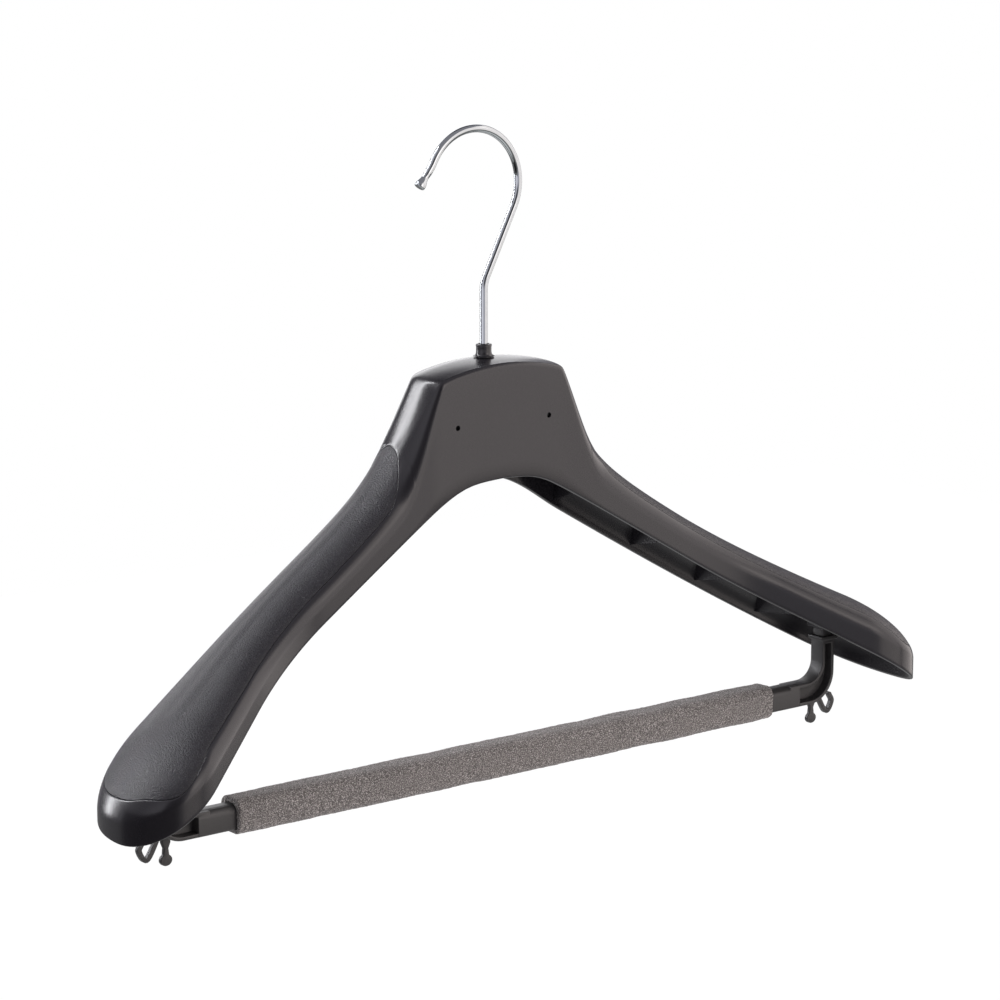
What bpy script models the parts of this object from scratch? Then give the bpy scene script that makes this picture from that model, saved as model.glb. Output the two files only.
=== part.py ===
"""Suit hanger with a swivel hook, grained shoulder grips and a trouser bar in a foam sleeve.

Row frame: metres, +X to the hanger's own left arm, which is the right one seen from its front, +Y to
the back, +Z up. The origin is where the hook rests on the rail, on the underside of its arc straight
above the stem. The pieces are modelled from a point on the stem's axis level with the two small holes
in the neck, which hangs below that origin.
"""

import math

import bmesh
import bpy
from mathutils import Vector
from mathutils.geometry import intersect_line_line_2d

# Overall sizes of the moulded body
HALF_SPAN = 0.2265
NECK_TOP = 0.0280
NECK_UNDERSIDE = 0.0257
NECK_CROWN_RADIUS = 0.129
NECK_BACK = 0.0155
STEM_SETBACK = 0.015
WALL = 0.0022

# Slope and sweep of the arms
ARM_SLOPE = math.radians(31.5)
ARCH_HALF_WIDTH = 0.0215
ARCH_BLEND = 0.010
SHOULDER_TAPER_START = 0.030
SHOULDER_TAPER_BLEND = 0.012
SHOULDER_TAPER = math.radians(5.8)
FORWARD_BEND_START = 0.105
FORWARD_BEND_BLEND = 0.048
FORWARD_BEND = math.radians(26.5)
BACK_BULGE = 0.0225
BACK_SWEEP = 0.0304
BACK_SWEEP_POWER = 2.8
BACK_FLARE_START = 0.030
BACK_FLARE_END = 0.062
BACK_EDGE_DROP = 0.005
END_LENGTH = 0.0365
END_START = HALF_SPAN - END_LENGTH
END_TIP_FORWARD = 0.0115
END_FRONT_HANDLE = 0.018
END_TIP_FRONT_HANDLE = 0.022
END_TIP_BACK_HANDLE = 0.027
END_BACK_HANDLE = 0.025

# Height of the arms and the flank that joins them to the neck
ARM_HEIGHT = 0.0215
END_EXTRA_HEIGHT = 0.0075
END_EXTRA_START = 0.110
FLANK_FOOT = 0.0556
FLANK_FALL = math.radians(63.4)
FLANK_FOOT_BLEND = 0.013
FLANK_TOP_BLEND = 0.003
NECK_FRONT_ROUND = 0.005
NECK_BACK_ROUND = 0.0142

# Shape of the cross section, as shares of its own height and half depth
NECK_FRONT_WALL_SHARE = 0.935
NECK_FRONT_CORNER_SHARE = 0.14
NECK_BACK_WALL_SHARE = 0.84
NECK_BACK_CORNER_SHARE = 0.50
ARM_WALL_SHARE = 0.36
ARM_CORNER_SHARE = 0.86
CROWN_SHARE = 0.02
SECTION_CHANGE_START = 0.034
SECTION_CHANGE_END = 0.060
CORNER_POWER = 2.2

# Places of the sections along the arm, as shares of the way to the rounded end
STATION_SHARES = (
    0.0, 0.08, 0.15, 0.175, 0.19, 0.205, 0.22, 0.24, 0.26, 0.285, 0.315, 0.35,
    0.39, 0.44, 0.50, 0.57, 0.64, 0.71, 0.78, 0.85, 0.92, 1.0,
)
END_STEPS = 8
WALL_STEPS = 2
CORNER_STEPS = 6
TOP_STEPS = 2

# Holes and bosses of the body
BADGE_HOLE_X = 0.0263
BADGE_HOLE_RADIUS = 0.00125
BOSS_RADIUS = 0.0065
BOSS_BOTTOM = 0.002
BOSS_ROOT_DEPTH = 0.001
WEB_PLACE_SHARES = (0.254, 0.456, 0.62, 0.77)
WEB_THICKNESS = 0.0015
WEB_INSET = 0.0016

# Shoulder grips
GRIP_THICKNESS = 0.0009
GRIP_START = 0.0492
GRIP_FULL = 0.062
GRIP_REACH_SHARE = 0.85
GRIP_END_REACH_SHARE = 0.92
GRIP_CORNER_REACH_SHARE = 0.088
GRIP_CORNER_POWER = 0.8
GRIP_STEPS = 8
GRIP_ROWS = 13
TONGUE_STEPS = 7

# Hook and its bearing
WIRE_RADIUS = 0.00183
HOOK_ARC_RADIUS = 0.0256
HOOK_ARC_OFFSET = 0.0058
HOOK_ARC_HEIGHT = 0.1071
HOOK_LEAN = math.radians(63.0)
HOOK_ARC_END = math.radians(152.0)
HOOK_TIP_LEAN = math.radians(51.0)
HOOK_TIP_LENGTH = 0.011
HOOK_TIP_BLEND = 0.005
HOOK_BEND_RADIUS = 0.014
HOOK_TIP_BULB_SHARE = 1.38
HOOK_TIP_WAIST_SHARE = 0.92
HOOK_TIP_BULB_LENGTH = 0.0045
HOOK_HEAD_SHARE = 1.75
HOOK_HEAD_HEIGHT = 0.0018
HOOK_ARC_STEPS = 30
HOOK_BEND_STEPS = 5
BUSH_TOP = 0.0340
BUSH_TOP_RADIUS = 0.0037
BUSH_FLARE_RADIUS = 0.0049
BUSH_FLARE_HEIGHT = 0.0022
BUSH_EDGE = 0.0007
BUSH_SLEEVE_WALL = 0.0012
BUSH_SLEEVE_LENGTH = 0.012
WASHER_RADIUS = 0.0055
WASHER_THICKNESS = 0.0012
SHAFT_CLEARANCE = 0.0003
TURNED_STEPS = 24

# Trouser bar, whose posts stand a set way in from the arms' tips and reach into the arms
BAR_FORWARD = 0.0205
BAR_HEIGHT = 0.0114
BAR_DEPTH = 0.010
BAR_TOP_ROUND = 0.0036
BAR_BOTTOM_ROUND = 0.0012
POST_WIDTH = 0.0076
POST_TIP_GAP = 0.0279
POST_INNER_X = HALF_SPAN - POST_TIP_GAP - POST_WIDTH
POST_LENGTH = 0.0275
ELBOW_RUN = 0.015
BAR_END = POST_INNER_X - ELBOW_RUN
ELBOW_DEPTH = 0.0088
ELBOW_SETBACK = 0.0002
ELBOW_INNER_ROUND = 0.0095
ELBOW_OUTER_ROUND = 0.015
ELBOW_OVERLAP = 0.006
FLANGE_WALL = 0.0018
RECESS_DEPTH = 0.005
COLLAR_RISE = 0.0035
COLLAR_THICKNESS = 0.0020
COLLAR_PROUD = 0.0014
STUB_INSET = 0.0007
STUB_LENGTH = 0.011
SOCKET_WALL = 0.0018
SOCKET_STANDOFF = 0.004
SOCKET_ROOT = 0.0012

# Skirt hooks under the elbows, placed from the posts' inner faces
SKIRT_THICKNESS = 0.0022
SKIRT_SETBACK = 0.0003
FOOT_INWARD = 0.0017
FOOT_X = POST_INNER_X - FOOT_INWARD
FOOT_ROOT_WIDTH = 0.0044
FOOT_ROOT_DROP = 0.0066
FOOT_WAIST_WIDTH = 0.0022
FOOT_WAIST_DROP = 0.0092
FOOT_WIDTH = 0.0060
FOOT_HEIGHT = 0.0052
FOOT_DROP = 0.0145
FOOT_HALF_OPENING = math.radians(30.0)
LOOP_WIDTH = 0.0022
LOOP_ROOT_OUTWARD = 0.0005
LOOP_LOW_OUTWARD = 0.0078
LOOP_LOW_DROP = 0.0124
LOOP_OUT_OUTWARD = 0.0119
LOOP_OUT_DROP = 0.0082
LOOP_TIP_OUTWARD = 0.0102
LOOP_TIP_DROP = 0.0042

# Foam sleeve
FOAM_END_GAP = 0.0195
FOAM_HALF_LENGTH = BAR_END - FOAM_END_GAP
FOAM_HEIGHT = 0.0163
FOAM_DEPTH = 0.015
FOAM_ROUND = 0.0045

# Shared small values
FIT = 0.0003
CUT_OVERRUN = 0.004
MERGE = 0.00001
SLOPE_STEP = 0.0001
SHARP_ANGLE = math.radians(35.0)
FLAT_ANGLE = math.radians(0.1)
ROUND_STEPS = 5
TOE_STEPS = 15
SMALL_HOLE_STEPS = 15

HOOK_LIFT = HOOK_ARC_HEIGHT + math.sqrt(
    (HOOK_ARC_RADIUS - WIRE_RADIUS) ** 2 - HOOK_ARC_OFFSET ** 2
)


def clear_scene():
    """Remove the objects of the open scene."""
    for thing in list(bpy.data.objects):
        bpy.data.objects.remove(thing, do_unlink=True)


def make_collection(name):
    group = bpy.data.collections.new(name)
    bpy.context.scene.collection.children.link(group)
    return group


def make_material(name, colour, roughness, metallic=0.0):
    material = bpy.data.materials.new(name)
    material.use_nodes = True
    shader = material.node_tree.nodes["Principled BSDF"]
    shader.inputs["Base Color"].default_value = (*colour, 1.0)
    shader.inputs["Roughness"].default_value = roughness
    shader.inputs["Metallic"].default_value = metallic
    return material


clear_scene()
PARTS = make_collection("suit_hanger")
CUTTERS = make_collection("suit_hanger_cutters")

FRAME = bpy.data.objects.new("hanger_frame", None)
FRAME.location = (0.0, 0.0, -HOOK_LIFT)
PARTS.objects.link(FRAME)


def finish_part(thing, material):
    """Put a piece in the parts collection, under the frame, with its own material."""
    for group in list(thing.users_collection):
        group.objects.unlink(thing)
    PARTS.objects.link(thing)
    thing.parent = FRAME
    thing.data.materials.clear()
    thing.data.materials.append(material)


def finish_cutter(thing):
    """Put a helper solid in the cutters collection, drawn as wires and never rendered."""
    for group in list(thing.users_collection):
        group.objects.unlink(thing)
    CUTTERS.objects.link(thing)
    thing.parent = FRAME
    thing.hide_render = True
    thing.display_type = "WIRE"
    return thing


def boolean(thing, other, operation):
    cut = thing.modifiers.new(operation.lower() + "_" + other.name, "BOOLEAN")
    cut.operation = operation
    cut.solver = "EXACT"
    cut.object = other


def mesh_object(name, points, faces):
    data = bpy.data.meshes.new(name)
    data.from_pydata([tuple(p) for p in points], [], faces)
    data.validate()
    thing = bpy.data.objects.new(name, data)
    bpy.context.scene.collection.objects.link(thing)
    return thing


def tidy_mesh(thing, smooth=True, turn_out=True):
    """Weld a mesh, turn a closed one's faces outwards and shade it smooth across soft edges."""
    work = bmesh.new()
    work.from_mesh(thing.data)
    bmesh.ops.remove_doubles(work, verts=work.verts, dist=MERGE)
    if turn_out:
        bmesh.ops.recalc_face_normals(work, faces=work.faces)
    work.to_mesh(thing.data)
    work.free()
    if smooth:
        thing.data.shade_smooth()
        thing.data.set_sharp_from_angle(angle=SHARP_ANGLE)


def curve_to_mesh(thing):
    """Turn a curve object into a closed mesh object in the same place."""
    bpy.context.view_layer.update()
    evaluated = thing.evaluated_get(bpy.context.evaluated_depsgraph_get())
    data = bpy.data.meshes.new_from_object(evaluated)
    solid = bpy.data.objects.new(thing.name + "_mesh", data)
    solid.matrix_world = thing.matrix_world
    bpy.context.scene.collection.objects.link(solid)
    name = thing.name
    bpy.data.objects.remove(thing, do_unlink=True)
    solid.name = name
    tidy_mesh(solid)
    return solid


def plate(name, outlines, thickness, centre, axis="Y"):
    """A flat plate: closed outlines in (x, z) or (y, z), thick along Y or X about its centre."""
    data = bpy.data.curves.new(name, "CURVE")
    data.dimensions = "2D"
    data.fill_mode = "BOTH"
    data.extrude = thickness / 2
    for outline in outlines:
        spline = data.splines.new("POLY")
        spline.points.add(len(outline) - 1)
        for point, (across, up) in zip(spline.points, outline):
            point.co = (across, up, 0.0, 1.0)
        spline.use_cyclic_u = True
    thing = bpy.data.objects.new(name, data)
    quarter = math.radians(90.0)
    thing.rotation_euler = (quarter, 0.0, 0.0) if axis == "Y" else (quarter, 0.0, quarter)
    thing.location = centre
    bpy.context.scene.collection.objects.link(thing)
    solid = curve_to_mesh(thing)
    join_flat_faces(solid)
    return solid


def join_flat_faces(thing):
    """Join the triangles of each flat side into one face, which leaves cuts no slivers."""
    work = bmesh.new()
    work.from_mesh(thing.data)
    bmesh.ops.dissolve_limit(work, angle_limit=FLAT_ANGLE, verts=work.verts, edges=work.edges)
    work.to_mesh(thing.data)
    work.free()


def turned(name, profile):
    """A turned piece round the stem's axis: its (radius, height) profile runs down its outer side."""
    points = [(radius, 0.0, height) for radius, height in profile]
    edges = [(i, (i + 1) % len(points)) for i in range(len(points))]
    data = bpy.data.meshes.new(name)
    data.from_pydata(points, edges, [])
    thing = bpy.data.objects.new(name, data)
    bpy.context.scene.collection.objects.link(thing)
    screw = thing.modifiers.new("turn", "SCREW")
    screw.steps = TURNED_STEPS
    screw.render_steps = TURNED_STEPS
    screw.use_merge_vertices = True
    screw.merge_threshold = MERGE
    screw.use_smooth_shade = True
    return thing


def arc(centre_x, centre_z, radius, start, end, steps):
    """Points on a circle from one angle to another, both ends included."""
    found = []
    for i in range(steps + 1):
        angle = start + (end - start) * i / steps
        found.append((centre_x + radius * math.cos(angle), centre_z + radius * math.sin(angle)))
    return found


def rounded_box_outline(width, height, top_round, bottom_round):
    """Closed outline of a box about its centre, with rounded upper and lower corners."""
    side, top = width / 2, height / 2
    right = math.radians(90.0)
    outline = []
    corners = (
        (side - top_round, top - top_round, top_round, 0.0),
        (-side + top_round, top - top_round, top_round, right),
        (-side + bottom_round, -top + bottom_round, bottom_round, 2 * right),
        (side - bottom_round, -top + bottom_round, bottom_round, 3 * right),
    )
    for centre_x, centre_z, radius, start in corners:
        outline += arc(centre_x, centre_z, radius, start, start + right, ROUND_STEPS)
    return outline


# Body shell

def ramp(distance, blend):
    """Zero well before a knee, the distance itself well after it, and a smooth bend between."""
    return (distance + math.sqrt(distance * distance + blend * blend)) / 2


def knee(distance, blend):
    """Exactly zero before a knee, then a smooth bend over the blend, then straight."""
    if distance <= 0.0:
        return 0.0
    if distance < blend:
        return distance * distance / (2 * blend)
    return distance - blend / 2


def ease(value, start, end):
    share = min(max((value - start) / (end - start), 0.0), 1.0)
    return share * share * (3 - 2 * share)


def rim_height(x):
    """Height of the front lower edge."""
    return -NECK_UNDERSIDE - math.tan(ARM_SLOPE) * ramp(x - ARCH_HALF_WIDTH, ARCH_BLEND)


def front_edge(x):
    taper = math.tan(SHOULDER_TAPER) * knee(x - SHOULDER_TAPER_START, SHOULDER_TAPER_BLEND)
    bend = math.tan(FORWARD_BEND) * knee(x - FORWARD_BEND_START, FORWARD_BEND_BLEND)
    return -STEM_SETBACK - taper - bend


def back_edge(x):
    flare = (BACK_BULGE - NECK_BACK) * (1 - ease(x, BACK_FLARE_START, BACK_FLARE_END))
    return BACK_BULGE - BACK_SWEEP * (x / HALF_SPAN) ** BACK_SWEEP_POWER - flare


def edge_drop(x):
    """How much lower the back edge lies than the front edge."""
    return BACK_EDGE_DROP * (1 - min(x / HALF_SPAN, 1.0) ** 3)


def middle(x):
    """Y of the ridge, halfway between the edges, held from where the rounded end starts."""
    x = min(x, END_START)
    return (front_edge(x) + back_edge(x)) / 2


def top_height(x, drawn_back=0.0):
    """Height of the ridge: the crowned neck, then the flank that falls to the arm.

    drawn_back moves the flank towards the stem, as the rounded corners of the neck do.
    """
    neck = NECK_TOP - min(x, FLANK_FOOT) ** 2 / (2 * NECK_CROWN_RADIUS)
    extra_share = max((x - END_EXTRA_START) / (HALF_SPAN - END_EXTRA_START), 0.0)
    arm = rim_height(x) - edge_drop(x) / 2 + ARM_HEIGHT + END_EXTRA_HEIGHT * extra_share ** 2
    flank = arm + ramp(math.tan(FLANK_FALL) * (FLANK_FOOT - x - drawn_back), FLANK_FOOT_BLEND)
    gap = flank - neck
    return (neck + flank - math.sqrt(gap * gap + FLANK_TOP_BLEND * FLANK_TOP_BLEND)) / 2


def ridge_slope(x):
    """How far the ridge falls for each step outwards."""
    return (top_height(x) - top_height(x + SLOPE_STEP)) / SLOPE_STEP


def corner_rounding(reach, depth, radius):
    """How far a rounded corner draws the flank back, near the wall that lies at reach 1."""
    along = max(reach - 1 + radius / depth, 0.0) * depth / radius
    return radius * (1 - math.sqrt(max(1 - along * along, 0.0)))


def section_shares(x, back):
    """Shares of the section's height that is straight wall, and of its half depth that is rounded."""
    change = ease(x, SECTION_CHANGE_START, SECTION_CHANGE_END)
    wall = NECK_BACK_WALL_SHARE if back else NECK_FRONT_WALL_SHARE
    corner = NECK_BACK_CORNER_SHARE if back else NECK_FRONT_CORNER_SHARE
    return wall + (ARM_WALL_SHARE - wall) * change, corner + (ARM_CORNER_SHARE - corner) * change


def section_profile(x, back):
    """Pairs (reach, level) from the lower edge, level 0, to the ridge, with reach 1 at the wall."""
    wall, corner = section_shares(x, back)
    profile = [(1.0, wall * i / WALL_STEPS) for i in range(WALL_STEPS + 1)]
    for i in range(1, CORNER_STEPS + 1):
        angle = math.radians(90.0) * i / CORNER_STEPS
        inward = 1 - max(math.cos(angle), 0.0) ** (2 / CORNER_POWER)
        upward = math.sin(angle) ** (2 / CORNER_POWER)
        profile.append((1 - corner * inward, wall + (1 - wall - CROWN_SHARE) * upward))
    for i in range(1, TOP_STEPS + 1):
        left = 1 - i / TOP_STEPS
        profile.append(((1 - corner) * left, 1 - CROWN_SHARE * left * left))
    return profile


def level_at(x, back, reach):
    """Level of the surface at a reach short of the wall, on the same curve as the section's profile."""
    wall, corner = section_shares(x, back)
    if reach <= 1 - corner:
        return 1 - CROWN_SHARE * (reach / (1 - corner)) ** 2
    inward = (reach - 1 + corner) / corner
    upward = math.sqrt(1 - min(inward ** CORNER_POWER, 1.0)) ** (2 / CORNER_POWER)
    return wall + (1 - wall - CROWN_SHARE) * upward


def surface_point(ridge, edge, reach, level, inset):
    """A point of the outer surface, or of one drawn in by an inset, on the line from ridge to edge."""
    depth = (edge - ridge).length
    x, y = ridge.lerp(edge, reach * (1 - inset / depth))
    front, rear = front_edge(x), back_edge(x)
    across = min(max((y - front) / (rear - front), 0.0), 1.0)
    base = rim_height(x) - edge_drop(x) * across
    radius = NECK_BACK_ROUND if edge.y > ridge.y else NECK_FRONT_ROUND
    slope = ridge_slope(min(x, END_START))
    top = top_height(x, corner_rounding(reach, depth, radius)) - inset * math.sqrt(1 + slope * slope)
    return x, y, base + (top - base) * level


def bezier(points, steps):
    """Points on a cubic curve, both ends included."""
    first, second, third, fourth = (Vector(p) for p in points)
    found = []
    for i in range(steps + 1):
        t = i / steps
        s = 1 - t
        found.append(first * s ** 3 + second * 3 * s * s * t + third * 3 * s * t * t + fourth * t ** 3)
    return found


def end_outline(steps):
    """Plan of the arm's rounded end, from the front edge round the tip to the back edge."""
    front_slope = -math.tan(SHOULDER_TAPER) - math.tan(FORWARD_BEND)
    back_slope = -BACK_SWEEP_POWER * BACK_SWEEP / HALF_SPAN
    back_slope *= (END_START / HALF_SPAN) ** (BACK_SWEEP_POWER - 1)
    tip = (HALF_SPAN, middle(END_START) - END_TIP_FORWARD)
    start = (END_START, front_edge(END_START))
    end = (END_START, back_edge(END_START))
    front = bezier((
        start,
        (END_START + END_FRONT_HANDLE, start[1] + front_slope * END_FRONT_HANDLE),
        (HALF_SPAN, tip[1] - END_TIP_FRONT_HANDLE),
        tip,
    ), steps)
    back = bezier((
        tip,
        (HALF_SPAN, tip[1] + END_TIP_BACK_HANDLE),
        (END_START + END_BACK_HANDLE, end[1] + back_slope * END_BACK_HANDLE),
        end,
    ), steps)
    return front + back[1:]


def spoke(ridge, edge, inset):
    """Surface points along one plan line, from the lower edge to the ridge."""
    ridge, edge = Vector(ridge), Vector(edge)
    profile = section_profile(ridge.x, edge.y > ridge.y)
    return [surface_point(ridge, edge, reach, level, inset) for reach, level in profile]


def spokes_of_arm(inset):
    """The surface's spokes from the neck along the front, round the end and back to the neck."""
    stations = [END_START * share for share in STATION_SHARES]
    centre = (END_START, middle(END_START))
    found = [spoke((x, middle(x)), (x, front_edge(x)), inset) for x in stations]
    found += [spoke(centre, point, inset) for point in end_outline(END_STEPS)[1:-1]]
    found += [spoke((x, middle(x)), (x, back_edge(x)), inset) for x in reversed(stations)]
    return found


def wall_between(name, side, outer, inner, closed=True):
    """The solid between two nested surfaces, given as spokes; side is 1 for +X and -1 for -X.

    Each quad is split along the same diagonal on both surfaces, so that a thin wall never crosses itself.
    Its first and last rows are closed, unless it is to be mirrored there.
    """
    rows, count = len(outer), len(outer[0])
    points = [(side * x, y, z) for one in outer + inner for x, y, z in one]
    total = rows * count
    faces = []
    for i in range(rows - 1):
        for j in range(count - 1):
            low, high = i * count + j, (i + 1) * count + j
            for a, b, c in ((low, high, high + 1), (low, high + 1, low + 1)):
                faces += [(a, b, c), (total + a, total + c, total + b)]
        faces.append((i * count, total + i * count, total + (i + 1) * count, (i + 1) * count))
    if closed:
        for j in range(count - 1):
            low, last = j, (rows - 1) * count + j
            faces.append((low, low + 1, total + low + 1, total + low))
            faces.append((last, total + last, total + last + 1, last + 1))
    if side < 0:
        faces = [face[::-1] for face in faces]
    thing = mesh_object(name, points, faces)
    tidy_mesh(thing, turn_out=False)
    return thing


def ridge_and_edge(x, y):
    """The ridge point and the outline point on the plan line through a point."""
    if x <= END_START:
        edge = front_edge(x) if y < middle(x) else back_edge(x)
        return Vector((x, middle(x))), Vector((x, edge))
    centre = Vector((END_START, middle(END_START)))
    far = centre + (Vector((x, y)) - centre).normalized() * HALF_SPAN
    outline = end_outline(END_STEPS)
    crossings = [intersect_line_line_2d(centre, far, *pair) for pair in zip(outline, outline[1:])]
    return centre, next(hit for hit in crossings if hit)


def height_over(x, y, inset):
    """Height of the surface over a plan point."""
    ridge, edge = ridge_and_edge(x, y)
    reach = min((Vector((x, y)) - ridge).length / ((edge - ridge).length - inset), 1.0)
    return surface_point(ridge, edge, reach, level_at(ridge.x, edge.y > ridge.y, reach), inset)[2]


def grip_spoke(ridge, edge, share, inset, margin):
    """Points of a grip's surface along one plan line, from its border to the ridge."""
    ridge, edge = Vector(ridge), Vector(edge)
    back = edge.y > ridge.y
    border = share + margin / (edge - ridge).length
    points = []
    for i in range(GRIP_STEPS + 1):
        reach = border * math.cos(math.radians(90.0) * i / GRIP_STEPS)
        points.append(surface_point(ridge, edge, reach, level_at(ridge.x, back, reach), inset))
    return points


def grip_spokes(inset, margin):
    """A grip's spokes: a rounded tongue at the neck, then the arm's outline drawn in."""
    start = GRIP_START - margin
    rows = []
    for i in range(TONGUE_STEPS + 1):
        angle = math.radians(90.0) * i / TONGUE_STEPS
        x = GRIP_FULL - (GRIP_FULL - start) * math.cos(angle)
        rows.append((x, GRIP_REACH_SHARE * math.sin(angle)))
    for i in range(1, GRIP_ROWS + 1):
        rows.append((GRIP_FULL + (END_START - GRIP_FULL) * i / GRIP_ROWS, GRIP_REACH_SHARE))
    centre = (END_START, middle(END_START))
    found = [grip_spoke((x, middle(x)), (x, front_edge(x)), share, inset, margin) for x, share in rows]
    outline = end_outline(END_STEPS + 1)
    for i in range(1, len(outline) - 1):
        along = i / (len(outline) - 1)
        widening = math.sin(math.radians(180.0) * along)
        corner = max(math.sin(math.radians(360.0) * along ** GRIP_CORNER_POWER), 0.0)
        share = GRIP_REACH_SHARE + (GRIP_END_REACH_SHARE - GRIP_REACH_SHARE) * widening
        share += GRIP_CORNER_REACH_SHARE * corner
        found.append(grip_spoke(centre, outline[i], share, inset, margin))
    for x, share in reversed(rows):
        found.append(grip_spoke((x, middle(x)), (x, back_edge(x)), share, inset, margin))
    return found


def make_grips(material):
    """The grained grips, and the pockets they lie in."""
    pockets = []
    for side, word in ((1, "left"), (-1, "right")):
        inner = grip_spokes(GRIP_THICKNESS, 0.0)
        grip = wall_between(word + "_shoulder_grip", side, grip_spokes(0.0, 0.0), inner)
        finish_part(grip, material)
        outer, floor = grip_spokes(-CUT_OVERRUN, FIT), grip_spokes(GRIP_THICKNESS + FIT, FIT)
        pocket = wall_between("grip_pocket_" + word, side, outer, floor)
        pockets.append(finish_cutter(pocket))
    return pockets


def web(name, side, x):
    """A web across the inside of an arm above its straight walls, rooted part of the way into them."""
    rows = []
    for at in (x - WEB_THICKNESS / 2, x + WEB_THICKNESS / 2):
        ridge = (at, middle(at))
        front = spoke(ridge, (at, front_edge(at)), WEB_INSET)
        back = spoke(ridge, (at, back_edge(at)), WEB_INSET)
        outline = front[WALL_STEPS:] + back[-2:WALL_STEPS - 1:-1]
        rows += [(side * x, y, z) for x, y, z in outline]
    count = len(rows) // 2
    faces = [tuple(range(count)), tuple(range(2 * count - 1, count - 1, -1))]
    faces += [(i, (i + 1) % count, count + (i + 1) % count, count + i) for i in range(count)]
    thing = mesh_object(name, rows, faces)
    tidy_mesh(thing, smooth=False)
    return finish_cutter(thing)


def block(name, size, centre):
    """A box of a given size about a point."""
    bpy.ops.mesh.primitive_cube_add(size=1.0, location=centre)
    thing = bpy.context.active_object
    thing.name = name
    for vertex in thing.data.vertices:
        vertex.co = Vector(a * b for a, b in zip(vertex.co, size))
    return finish_cutter(thing)


def rod(name, radius, length, centre, axis="Z", steps=TURNED_STEPS):
    """A round rod about a point, along Z or Y."""
    bpy.ops.mesh.primitive_cylinder_add(vertices=steps, radius=radius, depth=length, location=centre)
    thing = bpy.context.active_object
    thing.name = name
    if axis == "Y":
        thing.rotation_euler = (math.radians(90.0), 0.0, 0.0)
    return finish_cutter(thing)


def make_shell(material, pockets):
    """The body moulding, open underneath, with its boss, webs, sockets, pockets and holes."""
    shell = wall_between("body_shell", 1, spokes_of_arm(0.0), spokes_of_arm(WALL), closed=False)
    mirror = shell.modifiers.new("both_arms", "MIRROR")
    mirror.merge_threshold = MERGE
    mirror.use_clip = True
    boss_top = NECK_TOP - WALL + BOSS_ROOT_DEPTH
    boss = rod("stem_boss", BOSS_RADIUS, boss_top - BOSS_BOTTOM, (0.0, 0.0, (boss_top + BOSS_BOTTOM) / 2))
    boolean(shell, boss, "UNION")
    for side, word in ((1, "left"), (-1, "right")):
        for i, share in enumerate(WEB_PLACE_SHARES):
            boolean(shell, web("web_%s_%d" % (word, i + 1), side, HALF_SPAN * share), "UNION")
        socket, bore = post_socket(side, word)
        boolean(shell, socket, "UNION")
        boolean(shell, bore, "DIFFERENCE")
        hole = rod(
            "badge_hole_" + word, BADGE_HOLE_RADIUS, WALL + CUT_OVERRUN,
            (side * BADGE_HOLE_X, -STEM_SETBACK, 0.0), axis="Y", steps=SMALL_HOLE_STEPS,
        )
        boolean(shell, hole, "DIFFERENCE")
    for pocket in pockets:
        boolean(shell, pocket, "DIFFERENCE")
    bore_radius = bush_sleeve_radius() + FIT
    length = NECK_TOP - BOSS_BOTTOM + 2 * CUT_OVERRUN
    bore = rod("stem_bore", bore_radius, length, (0.0, 0.0, (NECK_TOP + BOSS_BOTTOM) / 2))
    boolean(shell, bore, "DIFFERENCE")
    finish_part(shell, material)
    return shell


# Sockets for the bar's posts, under each arm

def post_centre_x():
    return POST_INNER_X + POST_WIDTH / 2


def stub_size():
    return (POST_WIDTH - 2 * STUB_INSET, ELBOW_DEPTH - 2 * STUB_INSET)


def post_y():
    """Y of the middle of the elbows and posts, whose fronts lie just behind the bar's front."""
    return -BAR_FORWARD - BAR_DEPTH / 2 + ELBOW_SETBACK + ELBOW_DEPTH / 2


def collar_top():
    """Height of the collars' tops, a little above the arm's front lower edge there."""
    return rim_height(post_centre_x()) + COLLAR_RISE


def bar_level():
    """Height of the middle of the bar."""
    return collar_top() - POST_LENGTH


def stub_top():
    return collar_top() + STUB_LENGTH


def post_socket(side, word):
    """The sleeve that a post's stub goes into, and its bore, closed above the stub."""
    across, deep = stub_size()
    x, y = post_centre_x(), post_y()
    low = collar_top() + SOCKET_STANDOFF
    bore_top = stub_top() + FIT
    size = (across + 2 * (FIT + SOCKET_WALL), deep + 2 * (FIT + SOCKET_WALL), 2 * (bore_top - low))
    sleeve = block("post_socket_" + word, size, (side * x, y, bore_top))
    for vertex in sleeve.data.vertices:
        if vertex.co.z > 0.0:
            over = height_over(x + side * vertex.co.x, y + vertex.co.y, WALL - SOCKET_ROOT)
            vertex.co.z = over - bore_top
    bore_low = low - CUT_OVERRUN
    bore_size = (across + 2 * FIT, deep + 2 * FIT, bore_top - bore_low)
    bore = block("post_bore_" + word, bore_size, (side * x, y, (bore_top + bore_low) / 2))
    return sleeve, bore


# Hook, bush and washer

def bush_bore_radius():
    return WIRE_RADIUS + SHAFT_CLEARANCE


def bush_sleeve_radius():
    return bush_bore_radius() + BUSH_SLEEVE_WALL


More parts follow.
